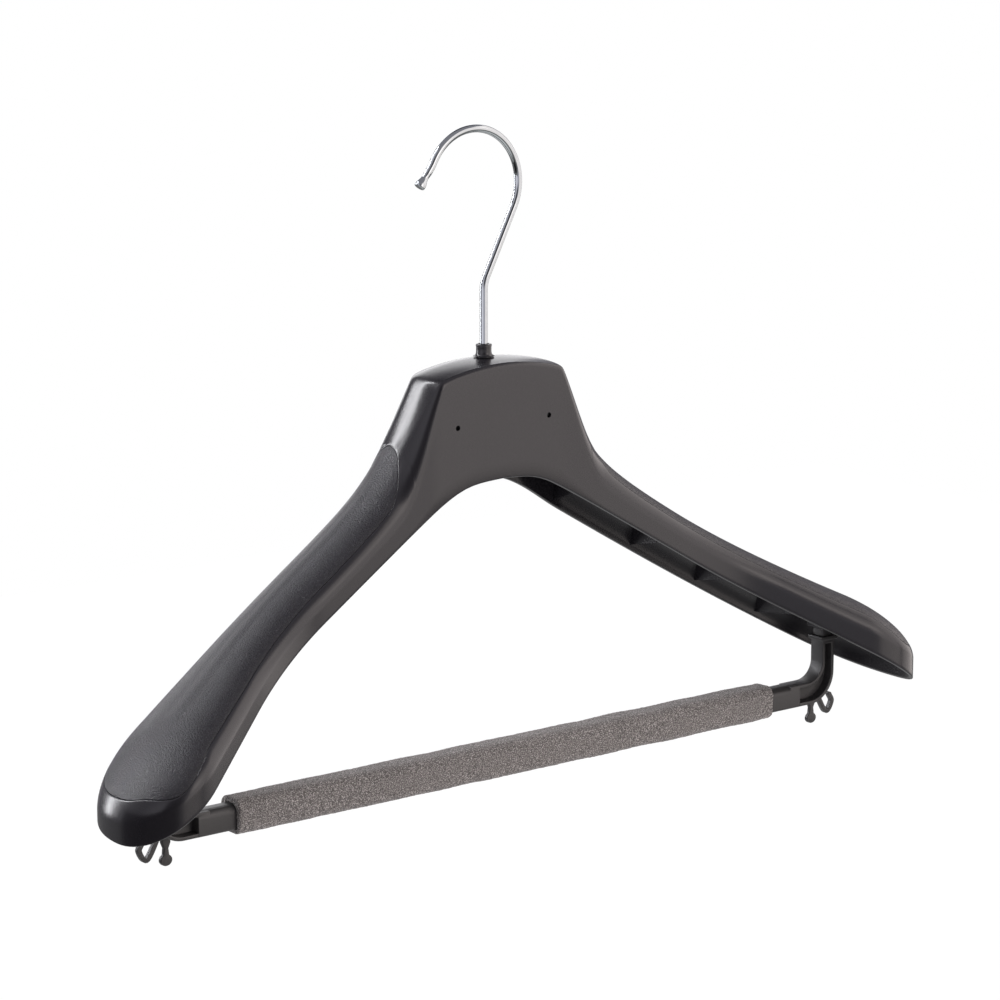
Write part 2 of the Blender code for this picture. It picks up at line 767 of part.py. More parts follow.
def make_bush(material):
    """The flared collar on the neck, with the sleeve that lines the boss."""
    seat = NECK_TOP + FIT
    inner, sleeve = bush_bore_radius(), bush_sleeve_radius()
    profile = [
        (inner, BUSH_TOP),
        (BUSH_TOP_RADIUS - BUSH_EDGE, BUSH_TOP),
        (BUSH_TOP_RADIUS, BUSH_TOP - BUSH_EDGE),
        (BUSH_TOP_RADIUS, seat + BUSH_FLARE_HEIGHT),
        (BUSH_FLARE_RADIUS - BUSH_EDGE, seat + BUSH_EDGE),
        (BUSH_FLARE_RADIUS, seat),
        (sleeve, seat),
        (sleeve, NECK_TOP - BUSH_SLEEVE_LENGTH),
        (inner, NECK_TOP - BUSH_SLEEVE_LENGTH),
    ]
    bush = turned("hook_bush", profile)
    finish_part(bush, material)
    return bush


def make_washer(material):
    """The washer on the stem, under the boss."""
    top = BOSS_BOTTOM - FIT
    inner = bush_bore_radius()
    profile = [
        (inner, top),
        (WASHER_RADIUS, top),
        (WASHER_RADIUS, top - WASHER_THICKNESS),
        (inner, top - WASHER_THICKNESS),
    ]
    washer = turned("hook_washer", profile)
    finish_part(washer, material)
    return washer


def hook_route():
    """Centreline of the hook wire in (x, z), from its foot to its tip, with each point's swelling."""
    centre_x, centre_z = -HOOK_ARC_OFFSET, HOOK_ARC_HEIGHT
    arc_start = HOOK_LEAN - math.radians(90.0)
    lean_x = centre_x + HOOK_ARC_RADIUS * math.cos(arc_start)
    lean_z = centre_z + HOOK_ARC_RADIUS * math.sin(arc_start)
    bend_z = lean_z - lean_x * math.tan(HOOK_LEAN)
    turn = math.radians(90.0) - HOOK_LEAN
    set_back = HOOK_BEND_RADIUS * math.tan(turn / 2)
    washer_low = BOSS_BOTTOM - FIT - WASHER_THICKNESS
    head_top = washer_low - FIT
    head_low = head_top - HOOK_HEAD_HEIGHT
    route = [
        (0.0, head_low, HOOK_HEAD_SHARE),
        (0.0, head_top, HOOK_HEAD_SHARE),
        (0.0, head_top + MERGE, 1.0),
        (0.0, NECK_TOP, 1.0),
    ]
    bend = arc(
        HOOK_BEND_RADIUS, bend_z - set_back, HOOK_BEND_RADIUS,
        math.radians(180.0), math.radians(180.0) - turn, HOOK_BEND_STEPS,
    )
    route += [(x, z, 1.0) for x, z in bend]
    loop = arc(centre_x, centre_z, HOOK_ARC_RADIUS, arc_start, HOOK_ARC_END, HOOK_ARC_STEPS)
    route += [(x, z, 1.0) for x, z in loop]
    out = Vector((-math.cos(HOOK_TIP_LEAN), -math.sin(HOOK_TIP_LEAN)))
    along = Vector((-math.sin(HOOK_ARC_END), math.cos(HOOK_ARC_END)))
    start = Vector(loop[-1])
    knee_point = start + along * HOOK_TIP_BLEND / 2
    waist = knee_point + out * (HOOK_TIP_LENGTH - HOOK_TIP_BULB_LENGTH) / 2
    neck = knee_point + out * (HOOK_TIP_LENGTH - HOOK_TIP_BULB_LENGTH)
    tip = knee_point + out * HOOK_TIP_LENGTH
    swell = neck.lerp(tip, 1 / 2)
    route += [
        (*knee_point, 1.0), (*waist, HOOK_TIP_WAIST_SHARE), (*neck, 1.0),
        (*swell, HOOK_TIP_BULB_SHARE), (*tip, HOOK_TIP_BULB_SHARE),
    ]
    return route


def make_hook(material):
    """The plated wire hook: arc, slanted shank, stem and headed foot."""
    data = bpy.data.curves.new("hook", "CURVE")
    data.dimensions = "3D"
    data.bevel_depth = WIRE_RADIUS
    data.bevel_resolution = 3
    data.use_fill_caps = True
    spline = data.splines.new("POLY")
    route = hook_route()
    spline.points.add(len(route) - 1)
    for point, (x, z, swelling) in zip(spline.points, route):
        point.co = (x, 0.0, z, 1.0)
        point.radius = swelling
    thing = bpy.data.objects.new("hook", data)
    bpy.context.scene.collection.objects.link(thing)
    hook = curve_to_mesh(thing)
    finish_part(hook, material)
    return hook


# Trouser bar

def elbow_outline(inset):
    """Outline of the elbow and post at +X in (x, z), drawn in by an inset; the post ends in the collar."""
    half = BAR_HEIGHT / 2 - ELBOW_SETBACK - inset
    top, low = bar_level() + half, bar_level() - half
    start = BAR_END + ELBOW_SETBACK if inset > 0.0 else BAR_END - ELBOW_OVERLAP
    inner, outer = POST_INNER_X + inset, POST_INNER_X + POST_WIDTH - inset
    high = collar_top() - COLLAR_THICKNESS / 2
    if inset > 0.0:
        high = collar_top() - COLLAR_THICKNESS - inset
    inner_round, outer_round = ELBOW_INNER_ROUND + inset, ELBOW_OUTER_ROUND - inset
    quarter = math.radians(90.0)
    outline = [(start, low)]
    outline += arc(outer - outer_round, low + outer_round, outer_round, -quarter, 0.0, 2 * ROUND_STEPS)
    outline += [(outer, high), (inner, high)]
    outline += arc(inner - inner_round, top + inner_round, inner_round, 0.0, -quarter, 2 * ROUND_STEPS)
    outline += [(start, top)]
    return outline


def stroke(points, width):
    """Closed outline of a line of even width through some points, with blunt ends."""
    left = []
    right = []
    for i, point in enumerate(points):
        before = points[max(i - 1, 0)]
        after = points[min(i + 1, len(points) - 1)]
        along = (Vector(after) - Vector(before)).normalized()
        across = Vector((-along.y, along.x)) * width / 2
        left.append(tuple(Vector(point) + across))
        right.append(tuple(Vector(point) - across))
    return left + right[::-1]


def smooth_line(points, steps):
    """A smooth line through chosen points, ends included."""
    places = [Vector(p) for p in points]
    places = [places[0] * 2 - places[1]] + places + [places[-1] * 2 - places[-2]]
    found = []
    for i in range(1, len(places) - 2):
        a, b, c, d = places[i - 1:i + 3]
        for k in range(steps):
            t = k / steps
            found.append((b * 2 + (c - a) * t + (a * 2 - b * 5 + c * 4 - d) * t * t
                          + (b * 3 - a - c * 3 + d) * t ** 3) / 2)
    found.append(places[-2])
    return found


def skirt_outlines():
    """The foot and the loop that hang under an elbow, in (x, z)."""
    level = bar_level()
    left_side = [
        (FOOT_X - FOOT_ROOT_WIDTH / 2, level),
        (FOOT_X - FOOT_ROOT_WIDTH / 2, level - FOOT_ROOT_DROP),
        (FOOT_X - FOOT_WAIST_WIDTH / 2, level - FOOT_WAIST_DROP),
    ]
    right_side = [(2 * FOOT_X - x, z) for x, z in reversed(left_side)]
    start = math.radians(90.0) + FOOT_HALF_OPENING
    sweep = math.radians(360.0) - 2 * FOOT_HALF_OPENING
    toe = []
    for i in range(TOE_STEPS + 1):
        angle = start + sweep * i / TOE_STEPS
        toe.append((
            FOOT_X + FOOT_WIDTH / 2 * math.cos(angle),
            level - FOOT_DROP + FOOT_HEIGHT / 2 * math.sin(angle),
        ))
    foot = left_side + toe + right_side
    line = smooth_line((
        (POST_INNER_X + LOOP_ROOT_OUTWARD, level),
        (POST_INNER_X + LOOP_LOW_OUTWARD, level - LOOP_LOW_DROP),
        (POST_INNER_X + LOOP_OUT_OUTWARD, level - LOOP_OUT_DROP),
        (POST_INNER_X + LOOP_TIP_OUTWARD, level - LOOP_TIP_DROP),
    ), ROUND_STEPS)
    return foot, stroke(line, LOOP_WIDTH)


def side_plate(name, side, outline, front, thickness):
    """A plate at one end of the bar, from its front face backwards; side is 1 for +X, -1 for -X."""
    mirrored = [(side * x, z) for x, z in outline]
    return finish_cutter(plate(name, [mirrored], thickness, (0.0, front + thickness / 2, 0.0)))


def make_bar(material):
    """The trouser bar with its elbows, posts and skirt hooks, one moulding."""
    section = rounded_box_outline(BAR_DEPTH, BAR_HEIGHT, BAR_TOP_ROUND, BAR_BOTTOM_ROUND)
    centre = (0.0, -BAR_FORWARD, bar_level())
    bar = plate("trouser_bar", [section], 2 * BAR_END, centre, axis="X")
    front = post_y() - ELBOW_DEPTH / 2
    for side, word in ((1, "left"), (-1, "right")):
        boolean(bar, side_plate("elbow_" + word, side, elbow_outline(0.0), front, ELBOW_DEPTH), "UNION")
        collar_size = (POST_WIDTH + 2 * COLLAR_PROUD, ELBOW_DEPTH + COLLAR_PROUD, COLLAR_THICKNESS)
        collar_z = collar_top() - COLLAR_THICKNESS / 2
        collar = block("collar_" + word, collar_size, (side * post_centre_x(), post_y(), collar_z))
        boolean(bar, collar, "UNION")
        across, deep = stub_size()
        stub_size_here = (across, deep, stub_top() - collar_z)
        stub_centre = (side * post_centre_x(), post_y(), (stub_top() + collar_z) / 2)
        boolean(bar, block("stub_" + word, stub_size_here, stub_centre), "UNION")
        recess = side_plate(
            "elbow_recess_" + word, side, elbow_outline(FLANGE_WALL),
            front - CUT_OVERRUN, RECESS_DEPTH + CUT_OVERRUN,
        )
        boolean(bar, recess, "DIFFERENCE")
        foot, loop = skirt_outlines()
        skirt_front = front + RECESS_DEPTH + SKIRT_SETBACK
        boolean(bar, side_plate("foot_" + word, side, foot, skirt_front, SKIRT_THICKNESS), "UNION")
        boolean(bar, side_plate("loop_" + word, side, loop, skirt_front, SKIRT_THICKNESS), "UNION")
    finish_part(bar, material)
    return bar


def make_foam(material):
    """The foam sleeve round the bar."""
    outside = rounded_box_outline(FOAM_DEPTH, FOAM_HEIGHT, FOAM_ROUND, FOAM_ROUND)
    inside = rounded_box_outline(
        BAR_DEPTH + 2 * FIT, BAR_HEIGHT + 2 * FIT, BAR_TOP_ROUND + FIT, BAR_BOTTOM_ROUND + FIT
    )
    centre = (0.0, -BAR_FORWARD, bar_level())
    foam = plate("foam_sleeve", [outside, inside], 2 * FOAM_HALF_LENGTH, centre, axis="X")
    finish_part(foam, material)
    return foam


def build():
    """Make every piece of the hanger."""
    shell_black = make_material("shell_black", (0.022, 0.021, 0.021), 0.32)
    grip_black = make_material("grip_black", (0.020, 0.020, 0.022), 0.62)
    bush_black = make_material("bush_black", (0.015, 0.015, 0.015), 0.35)
    bar_black = make_material("bar_black", (0.030, 0.029, 0.028), 0.45)
    chrome = make_material("bright_chrome", (0.78, 0.78, 0.79), 0.08, 1.0)
    steel = make_material("washer_steel", (0.45, 0.45, 0.46), 0.35, 1.0)
    foam_grey = make_material("foam_grey", (0.17, 0.16, 0.15), 0.95)
    pockets = make_grips(grip_black)
    make_shell(shell_black, pockets)
    make_hook(chrome)
    make_bush(bush_black)
    make_washer(steel)
    make_bar(bar_black)
    make_foam(foam_grey)


build()
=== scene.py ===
"""Looks of a suit hanger: glossy moulded shell, grained grips, plated hook, trouser bar and foam sleeve.

Metres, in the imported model's frame: +X to the hanger's own left arm, which is the right one seen from its
front, +Y to the back, +Z up, with the origin where the hook rests on its rail.
"""

import logging
import math
from dataclasses import dataclass, field
from enum import Enum

import bmesh
import bpy
from mathutils import Matrix, Vector, noise
from mathutils.geometry import intersect_line_line_2d


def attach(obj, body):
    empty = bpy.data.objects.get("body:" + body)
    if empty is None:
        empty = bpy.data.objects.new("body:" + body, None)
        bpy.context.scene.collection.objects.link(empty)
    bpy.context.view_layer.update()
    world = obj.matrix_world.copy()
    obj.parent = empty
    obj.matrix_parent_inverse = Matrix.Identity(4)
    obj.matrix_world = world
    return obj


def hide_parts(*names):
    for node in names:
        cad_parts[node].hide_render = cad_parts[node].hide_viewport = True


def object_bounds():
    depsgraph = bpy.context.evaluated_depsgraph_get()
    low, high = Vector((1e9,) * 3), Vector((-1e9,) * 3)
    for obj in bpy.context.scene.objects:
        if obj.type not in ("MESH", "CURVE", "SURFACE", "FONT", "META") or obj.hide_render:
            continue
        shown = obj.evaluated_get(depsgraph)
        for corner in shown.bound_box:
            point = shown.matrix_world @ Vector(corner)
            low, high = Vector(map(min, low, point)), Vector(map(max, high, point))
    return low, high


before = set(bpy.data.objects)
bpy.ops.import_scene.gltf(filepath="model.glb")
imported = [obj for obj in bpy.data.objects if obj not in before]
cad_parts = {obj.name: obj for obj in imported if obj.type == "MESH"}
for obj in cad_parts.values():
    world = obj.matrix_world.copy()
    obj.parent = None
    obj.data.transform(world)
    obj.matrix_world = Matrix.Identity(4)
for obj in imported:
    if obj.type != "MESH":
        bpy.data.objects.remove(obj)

CAD_LOW, CAD_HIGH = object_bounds()
LOG = logging.getLogger("suit_hanger")

QUARTER = math.radians(90.0)
HALF_TURN = math.radians(180.0)
FULL_TURN = math.radians(360.0)
WELD = 0.000004
SHARP_ANGLE = math.radians(38.0)
ROUNDED_ANGLE = math.radians(50.0)

Point2 = tuple[float, float]
Point3 = tuple[float, float, float]


class Body(Enum):
    """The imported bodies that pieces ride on."""

    HOOK = "hook_assembly"
    HANGER = "hanger_frame"


class Side(Enum):
    """The two arms: the hanger's own left one lies at +X."""

    LEFT = 1
    RIGHT = -1

    @property
    def word(self) -> str:
        """The side as a word for names."""
        return self.name.lower()


class Change(Enum):
    """How one mesh changes another."""

    JOIN = "UNION"
    CUT = "DIFFERENCE"


class Axis(Enum):
    """The axis that a prism runs along."""

    X = 0
    Y = 1


# Mesh helpers

def ease(value: float, start: float, end: float) -> float:
    """Smooth step from 0 at start to 1 at end."""
    share = min(max((value - start) / (end - start), 0.0), 1.0)
    return share * share * (3 - 2 * share)


def arc(centre: Point2, radius: float, start: float, end: float, steps: int) -> list[Point2]:
    """Points on a circle from one angle to another, both ends included.

    Args:
        centre: The circle's centre.
        radius: Its radius.
        start: First angle, in radians.
        end: Last angle.
        steps: Number of equal steps between them.

    Returns:
        The points in order.
    """
    angles = [start + (end - start) * i / steps for i in range(steps + 1)]
    return [(centre[0] + radius * math.cos(a), centre[1] + radius * math.sin(a)) for a in angles]


def rounded_box(width: float, height: float, top: float, bottom: float, steps: int) -> list[Point2]:
    """Closed outline of a box about its centre with rounded corners.

    Args:
        width: Size across.
        height: Size up.
        top: Radius of the upper corners.
        bottom: Radius of the lower corners.
        steps: Steps round each corner.

    Returns:
        The outline, anticlockwise from the right side.
    """
    side, high = width / 2, height / 2
    corners = (
        ((side - top, high - top), top, 0.0),
        ((-side + top, high - top), top, QUARTER),
        ((-side + bottom, -high + bottom), bottom, 2 * QUARTER),
        ((side - bottom, -high + bottom), bottom, 3 * QUARTER),
    )
    outline: list[Point2] = []
    for centre, radius, start in corners:
        outline += arc(centre, radius, start, start + QUARTER, steps)
    return outline


def mesh_piece(name: str, points: list[Point3], faces: list[tuple[int, ...]]) -> bpy.types.Object:
    """A welded mesh object with its faces turned outwards.

    Args:
        name: The piece's name.
        points: Corner points.
        faces: Faces as indices of the points; corners that coincide are merged.

    Returns:
        The new object, linked to the scene.
    """
    work = bmesh.new()
    corners = [work.verts.new(p) for p in points]
    for face in faces:
        unique = list(dict.fromkeys(face))
        if len(unique) > 2:
            work.faces.new([corners[i] for i in unique])
    bmesh.ops.remove_doubles(work, verts=work.verts, dist=WELD)
    bmesh.ops.dissolve_degenerate(work, edges=work.edges, dist=WELD / 4)
    loose = [v for v in work.verts if not v.link_faces]
    bmesh.ops.delete(work, geom=loose, context="VERTS")
    bmesh.ops.recalc_face_normals(work, faces=work.faces)
    data = bpy.data.meshes.new(name)
    work.to_mesh(data)
    work.free()
    piece = bpy.data.objects.new(name, data)
    bpy.context.scene.collection.objects.link(piece)
    return piece


def shade(piece: bpy.types.Object, angle: float = SHARP_ANGLE) -> None:
    """Shade a piece smooth, with edges sharper than an angle kept crisp."""
    piece.data.shade_smooth()
    piece.data.set_sharp_from_angle(angle=angle)


def open_edges(piece: bpy.types.Object) -> int:
    """Number of edges that don't join exactly two faces.

    Args:
        piece: Any mesh object.

    Returns:
        The count, which is 0 for a closed mesh.
    """
    work = bmesh.new()
    work.from_mesh(piece.data)
    found = sum(1 for edge in work.edges if len(edge.link_faces) != 2)
    work.free()
    return found


def bake_modifiers(piece: bpy.types.Object) -> None:
    """Replace a piece's mesh by the one that its modifiers make.

    Args:
        piece: An object with modifiers, which keeps none.
    """
    bpy.context.view_layer.update()
    evaluated = piece.evaluated_get(bpy.context.evaluated_depsgraph_get())
    data = bpy.data.meshes.new_from_object(evaluated)
    piece.modifiers.clear()
    piece.data = data


def combine(piece: bpy.types.Object, tool: bpy.types.Object, change: Change) -> None:
    """Join a tool to a piece or cut it away, for good, and remove the tool.

    Args:
        piece: The mesh that is changed.
        tool: The closed mesh that is joined or cut away.
        change: Whether the tool is joined or cut away.
    """
    step = piece.modifiers.new("combine", "BOOLEAN")
    step.operation = change.value
    step.solver = "EXACT"
    step.object = tool
    bake_modifiers(piece)
    bpy.data.objects.remove(tool, do_unlink=True)


def round_edges(piece: bpy.types.Object, width: float, segments: int = 3) -> None:
    """Round the sharp edges of a piece.

    Args:
        piece: A closed mesh.
        width: How far each edge is cut back.
        segments: Faces across each rounded edge.
    """
    step = piece.modifiers.new("round", "BEVEL")
    step.width = width
    step.segments = segments
    step.limit_method = "ANGLE"
    step.angle_limit = ROUNDED_ANGLE
    step.use_clamp_overlap = True
    step.harden_normals = False
    bake_modifiers(piece)


def grid_faces(rows: int, columns: int, closed: bool = False) -> list[tuple[int, ...]]:
    """Quads of a grid of points numbered row by row.

    Args:
        rows: Number of rows.
        columns: Points in each row.
        closed: Whether each row closes on itself.

    Returns:
        The faces.
    """
    faces = []
    for i in range(rows - 1):
        for j in range(columns if closed else columns - 1):
            k = (j + 1) % columns
            faces.append((i * columns + j, i * columns + k, (i + 1) * columns + k, (i + 1) * columns + j))
    return faces


def prism(name: str, outline: list[Point2], low: float, high: float, axis: Axis) -> bpy.types.Object:
    """A closed prism along an axis.

    Args:
        name: The piece's name.
        outline: Closed outline in (x, z) for axis Y, or in (y, z) for axis X.
        low: Where it starts along the axis.
        high: Where it ends.
        axis: The axis that it runs along.

    Returns:
        The new object.
    """
    count = len(outline)
    points: list[Point3] = []
    for place in (low, high):
        points += [(place, a, b) if axis is Axis.X else (a, place, b) for a, b in outline]
    faces = grid_faces(2, count, closed=True)
    faces += [tuple(range(count)), tuple(range(count, 2 * count))]
    return mesh_piece(name, points, faces)


def block(name: str, low: Point3, high: Point3) -> bpy.types.Object:
    """A closed box between two corners."""
    outline = [(low[0], low[2]), (high[0], low[2]), (high[0], high[2]), (low[0], high[2])]
    return prism(name, outline, low[1], high[1], Axis.Y)


def turned(name: str, profile: list[Point2], steps: int) -> bpy.types.Object:
    """A solid turned round the stem's axis.

    Args:
        name: The piece's name.
        profile: Closed (radius, height) profile.
        steps: Number of steps round.

    Returns:
        The new object.
    """
    points: list[Point3] = []
    for i in range(steps):
        angle = FULL_TURN * i / steps
        points += [(r * math.cos(angle), r * math.sin(angle), z) for r, z in profile]
    count = len(profile)
    faces = grid_faces(steps, count, closed=True)
    last = (steps - 1) * count
    for j in range(count):
        k = (j + 1) % count
        faces.append((last + j, last + k, k, j))
    return mesh_piece(name, points, faces)


def finish_piece(piece: bpy.types.Object, material: bpy.types.Material, body: Body,
                 node: str) -> None:
    """Give a piece its finish and its place in the frame.

    Args:
        piece: The fine piece, modelled from the badge holes' height.
        material: Its finish.
        body: The body that it rides on.
        node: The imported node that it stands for.
    """
    piece.data.transform(Matrix.Translation((0.0, 0.0, -WireHook().lift)))
    piece.data.materials.clear()
    piece.data.materials.append(material)
    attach(piece, body.value)
    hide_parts(node)
    LOG.info("%s: %d faces, %d open edges", piece.name, len(piece.data.polygons), open_edges(piece))


# Node groups that several finishes share

def new_group(name: str, inputs: dict[str, float], outputs: tuple[str, ...]) -> bpy.types.NodeTree:
    """An empty shader group with float inputs and outputs.

    Args:
        name: The group's name.
        inputs: Names and default values of the inputs.
        outputs: Names of the outputs.

    Returns:
        The group's node tree.
    """
    tree = bpy.data.node_groups.new(name, "ShaderNodeTree")
    for label, value in inputs.items():
        socket = tree.interface.new_socket(label, in_out="INPUT", socket_type="NodeSocketFloat")
        socket.default_value = value
    for label in outputs:
        tree.interface.new_socket(label, in_out="OUTPUT", socket_type="NodeSocketFloat")
    return tree


def math_node(tree: bpy.types.NodeTree, operation: str,
              *given: bpy.types.NodeSocket | float) -> bpy.types.NodeSocket:
    """A sum, product or the like of sockets and numbers.

    Args:
        tree: The node tree that it belongs to.
        operation: What the node does.
        *given: A socket or a number for each input.

    Returns:
        The socket with the result.
    """
    node = tree.nodes.new("ShaderNodeMath")
    node.operation = operation
    for end, value in zip(node.inputs, given):
        if isinstance(value, bpy.types.NodeSocket):
            tree.links.new(value, end)
        else:
            end.default_value = value
    return node.outputs[0]


@dataclass
class SharedEffects:
    """Node groups for effects that more than one finish uses."""

    grain: bpy.types.NodeTree = field(init=False)
    mottle: bpy.types.NodeTree = field(init=False)

    def __post_init__(self) -> None:
        """Build each group once."""
        self.grain = self.build_grain()
        self.mottle = self.build_mottle()

    def build_grain(self) -> bpy.types.NodeTree:
        """Pebbled moulding grain.

        Returns:
            A group that puts out the grain's height and a mask of its raised spots.
        """
        tree = new_group("moulded_grain", {"Scale": 1200.0, "Softness": 0.5}, ("Height", "Spots"))
        add, link = tree.nodes.new, tree.links.new
        given, out = add("NodeGroupInput"), add("NodeGroupOutput")
        place = add("ShaderNodeTexCoord")
        cells = add("ShaderNodeTexVoronoi")
        cells.feature = "SMOOTH_F1"
        fine = add("ShaderNodeTexNoise")
        fine.inputs["Detail"].default_value = 3.0
        link(place.outputs["Object"], cells.inputs["Vector"])
        link(place.outputs["Object"], fine.inputs["Vector"])
        link(given.outputs["Scale"], cells.inputs["Scale"])
        link(math_node(tree, "MULTIPLY", given.outputs["Scale"], 2.2), fine.inputs["Scale"])
        link(given.outputs["Softness"], cells.inputs["Smoothness"])
        raised = math_node(tree, "SUBTRACT", 1.0, cells.outputs["Distance"])
        height = math_node(tree, "MULTIPLY", raised, fine.outputs["Fac"])
        spots = add("ShaderNodeMapRange")
        spots.inputs["From Min"].default_value = 0.30
        spots.inputs["From Max"].default_value = 0.55
        link(height, spots.inputs["Value"])
        link(height, out.inputs["Height"])
        link(spots.outputs["Result"], out.inputs["Spots"])
        return tree

    def build_mottle(self) -> bpy.types.NodeTree:
        """Slow unevenness of a moulded or plated surface.

        Returns:
            A group that puts out a value about its Middle, give or take its Spread.
        """
        inputs = {"Scale": 40.0, "Middle": 0.3, "Spread": 0.04}
        tree = new_group("surface_mottle", inputs, ("Value",))
        add, link = tree.nodes.new, tree.links.new
        given, out = add("NodeGroupInput"), add("NodeGroupOutput")
        place = add("ShaderNodeTexCoord")
        cloud = add("ShaderNodeTexNoise")
        cloud.inputs["Detail"].default_value = 4.0
        link(place.outputs["Object"], cloud.inputs["Vector"])
        link(given.outputs["Scale"], cloud.inputs["Scale"])
        centred = math_node(tree, "SUBTRACT", cloud.outputs["Fac"], 0.5)
        value = math_node(tree, "MULTIPLY_ADD", centred, given.outputs["Spread"], given.outputs["Middle"])
        link(value, out.inputs["Value"])
        return tree


class MaterialBench:
    """Adds nodes to one material, in the order that a finish asks for."""

    def __init__(self, name: str) -> None:
        """Start a material with its Principled shader.

        Args:
            name: The material's name.
        """
        self.material = bpy.data.materials.new(name)
        self.material.use_nodes = True
        self.tree = self.material.node_tree
        self.shader = self.tree.nodes["Principled BSDF"]

    def add(self, kind: str) -> bpy.types.Node:
        """A new node of a kind."""
        return self.tree.nodes.new(kind)

    def group(self, tree: bpy.types.NodeTree, **values: float) -> bpy.types.Node:
        """A shared group with its own values for the named inputs.

        Args:
            tree: The shared group.
            **values: Values for its named inputs.

        Returns:
            The node.
        """
        node = self.add("ShaderNodeGroup")
        node.node_tree = tree
        for label, value in values.items():
            node.inputs[label].default_value = value
        return node

    def link(self, start: bpy.types.NodeSocket, end: bpy.types.NodeSocket) -> None:
        """Join two sockets."""
        self.tree.links.new(start, end)

    def two_tones(self, mask: bpy.types.NodeSocket, low: Point3, high: Point3) -> bpy.types.NodeSocket:
        """A colour that runs from one tone to another with a mask.

        Args:
            mask: Socket with the mask, 0 to 1.
            low: Tone where the mask is 0.
            high: Tone where it is 1.

        Returns:
            The socket with the colour.
        """
        mix = self.add("ShaderNodeMix")
        mix.data_type = "RGBA"
        mix.inputs["A"].default_value = (*low, 1.0)
        mix.inputs["B"].default_value = (*high, 1.0)
        self.link(mask, mix.inputs["Factor"])
        return mix.outputs["Result"]

    def bump(self, height: bpy.types.NodeSocket, distance: float, strength: float) -> None:
        """Feed a height into the shader's normal.

        Args:
            height: Socket with the height.
            distance: Depth of the relief, in metres.
            strength: Share of it that shows.
        """
        node = self.add("ShaderNodeBump")
        node.inputs["Distance"].default_value = distance
        node.inputs["Strength"].default_value = strength
        self.link(height, node.inputs["Height"])
        self.link(node.outputs["Normal"], self.shader.inputs["Normal"])


@dataclass(frozen=True)
class MouldedPlastic:
    """A moulded plastic with slow mottling and a fine grain whose raised spots are lighter: grain tone, and
    on the grips also painted sparkle.
    """

    name: str
    colour: Point3
    spots: Point3
    roughness: float
    roughness_spread: float
    grain_scale: float
    grain_depth: float
    grain_strength: float
    gloss: float = 0.5

    def make(self, effects: SharedEffects) -> bpy.types.Material:
        """The finish as a material.

        Args:
            effects: The shared node groups.

        Returns:
            The material.
        """
        bench = MaterialBench(self.name)
        bench.shader.inputs["Specular IOR Level"].default_value = self.gloss
        mottle = bench.group(
            effects.mottle, Scale=55.0, Middle=self.roughness, Spread=self.roughness_spread
        )
        bench.link(mottle.outputs["Value"], bench.shader.inputs["Roughness"])
        grain = bench.group(effects.grain, Scale=self.grain_scale, Softness=0.6)
        # Raised grain spots take the lighter spot colour: grain tone on the shell, bush and bar, and on the
        # grips painted sparkle as well as grain tone.
        colour = bench.two_tones(grain.outputs["Spots"], self.colour, self.spots)
        bench.link(colour, bench.shader.inputs["Base Color"])
        bench.bump(grain.outputs["Height"], self.grain_depth, self.grain_strength)
        return bench.material


@dataclass(frozen=True)
class PlatedMetal:
    """A metal whose polish varies a little along it."""

    name: str
    colour: Point3
    shade: Point3
    roughness: float
    roughness_spread: float
    wave_depth: float

    def make(self, effects: SharedEffects) -> bpy.types.Material:
        """The finish as a material.

        Args:
            effects: The shared node groups.

        Returns:
            The material.
        """
        bench = MaterialBench(self.name)
        bench.shader.inputs["Metallic"].default_value = 1.0
        mottle = bench.group(
            effects.mottle, Scale=160.0, Middle=self.roughness, Spread=self.roughness_spread
        )
        bench.link(mottle.outputs["Value"], bench.shader.inputs["Roughness"])
        tone = bench.group(effects.mottle, Scale=220.0, Middle=0.35, Spread=1.2)
        bench.link(bench.two_tones(tone.outputs["Value"], self.colour, self.shade),
                   bench.shader.inputs["Base Color"])
        wave = bench.group(effects.mottle, Scale=130.0, Middle=0.5, Spread=1.0)
        bench.bump(wave.outputs["Value"], self.wave_depth, 1.0)
        return bench.material


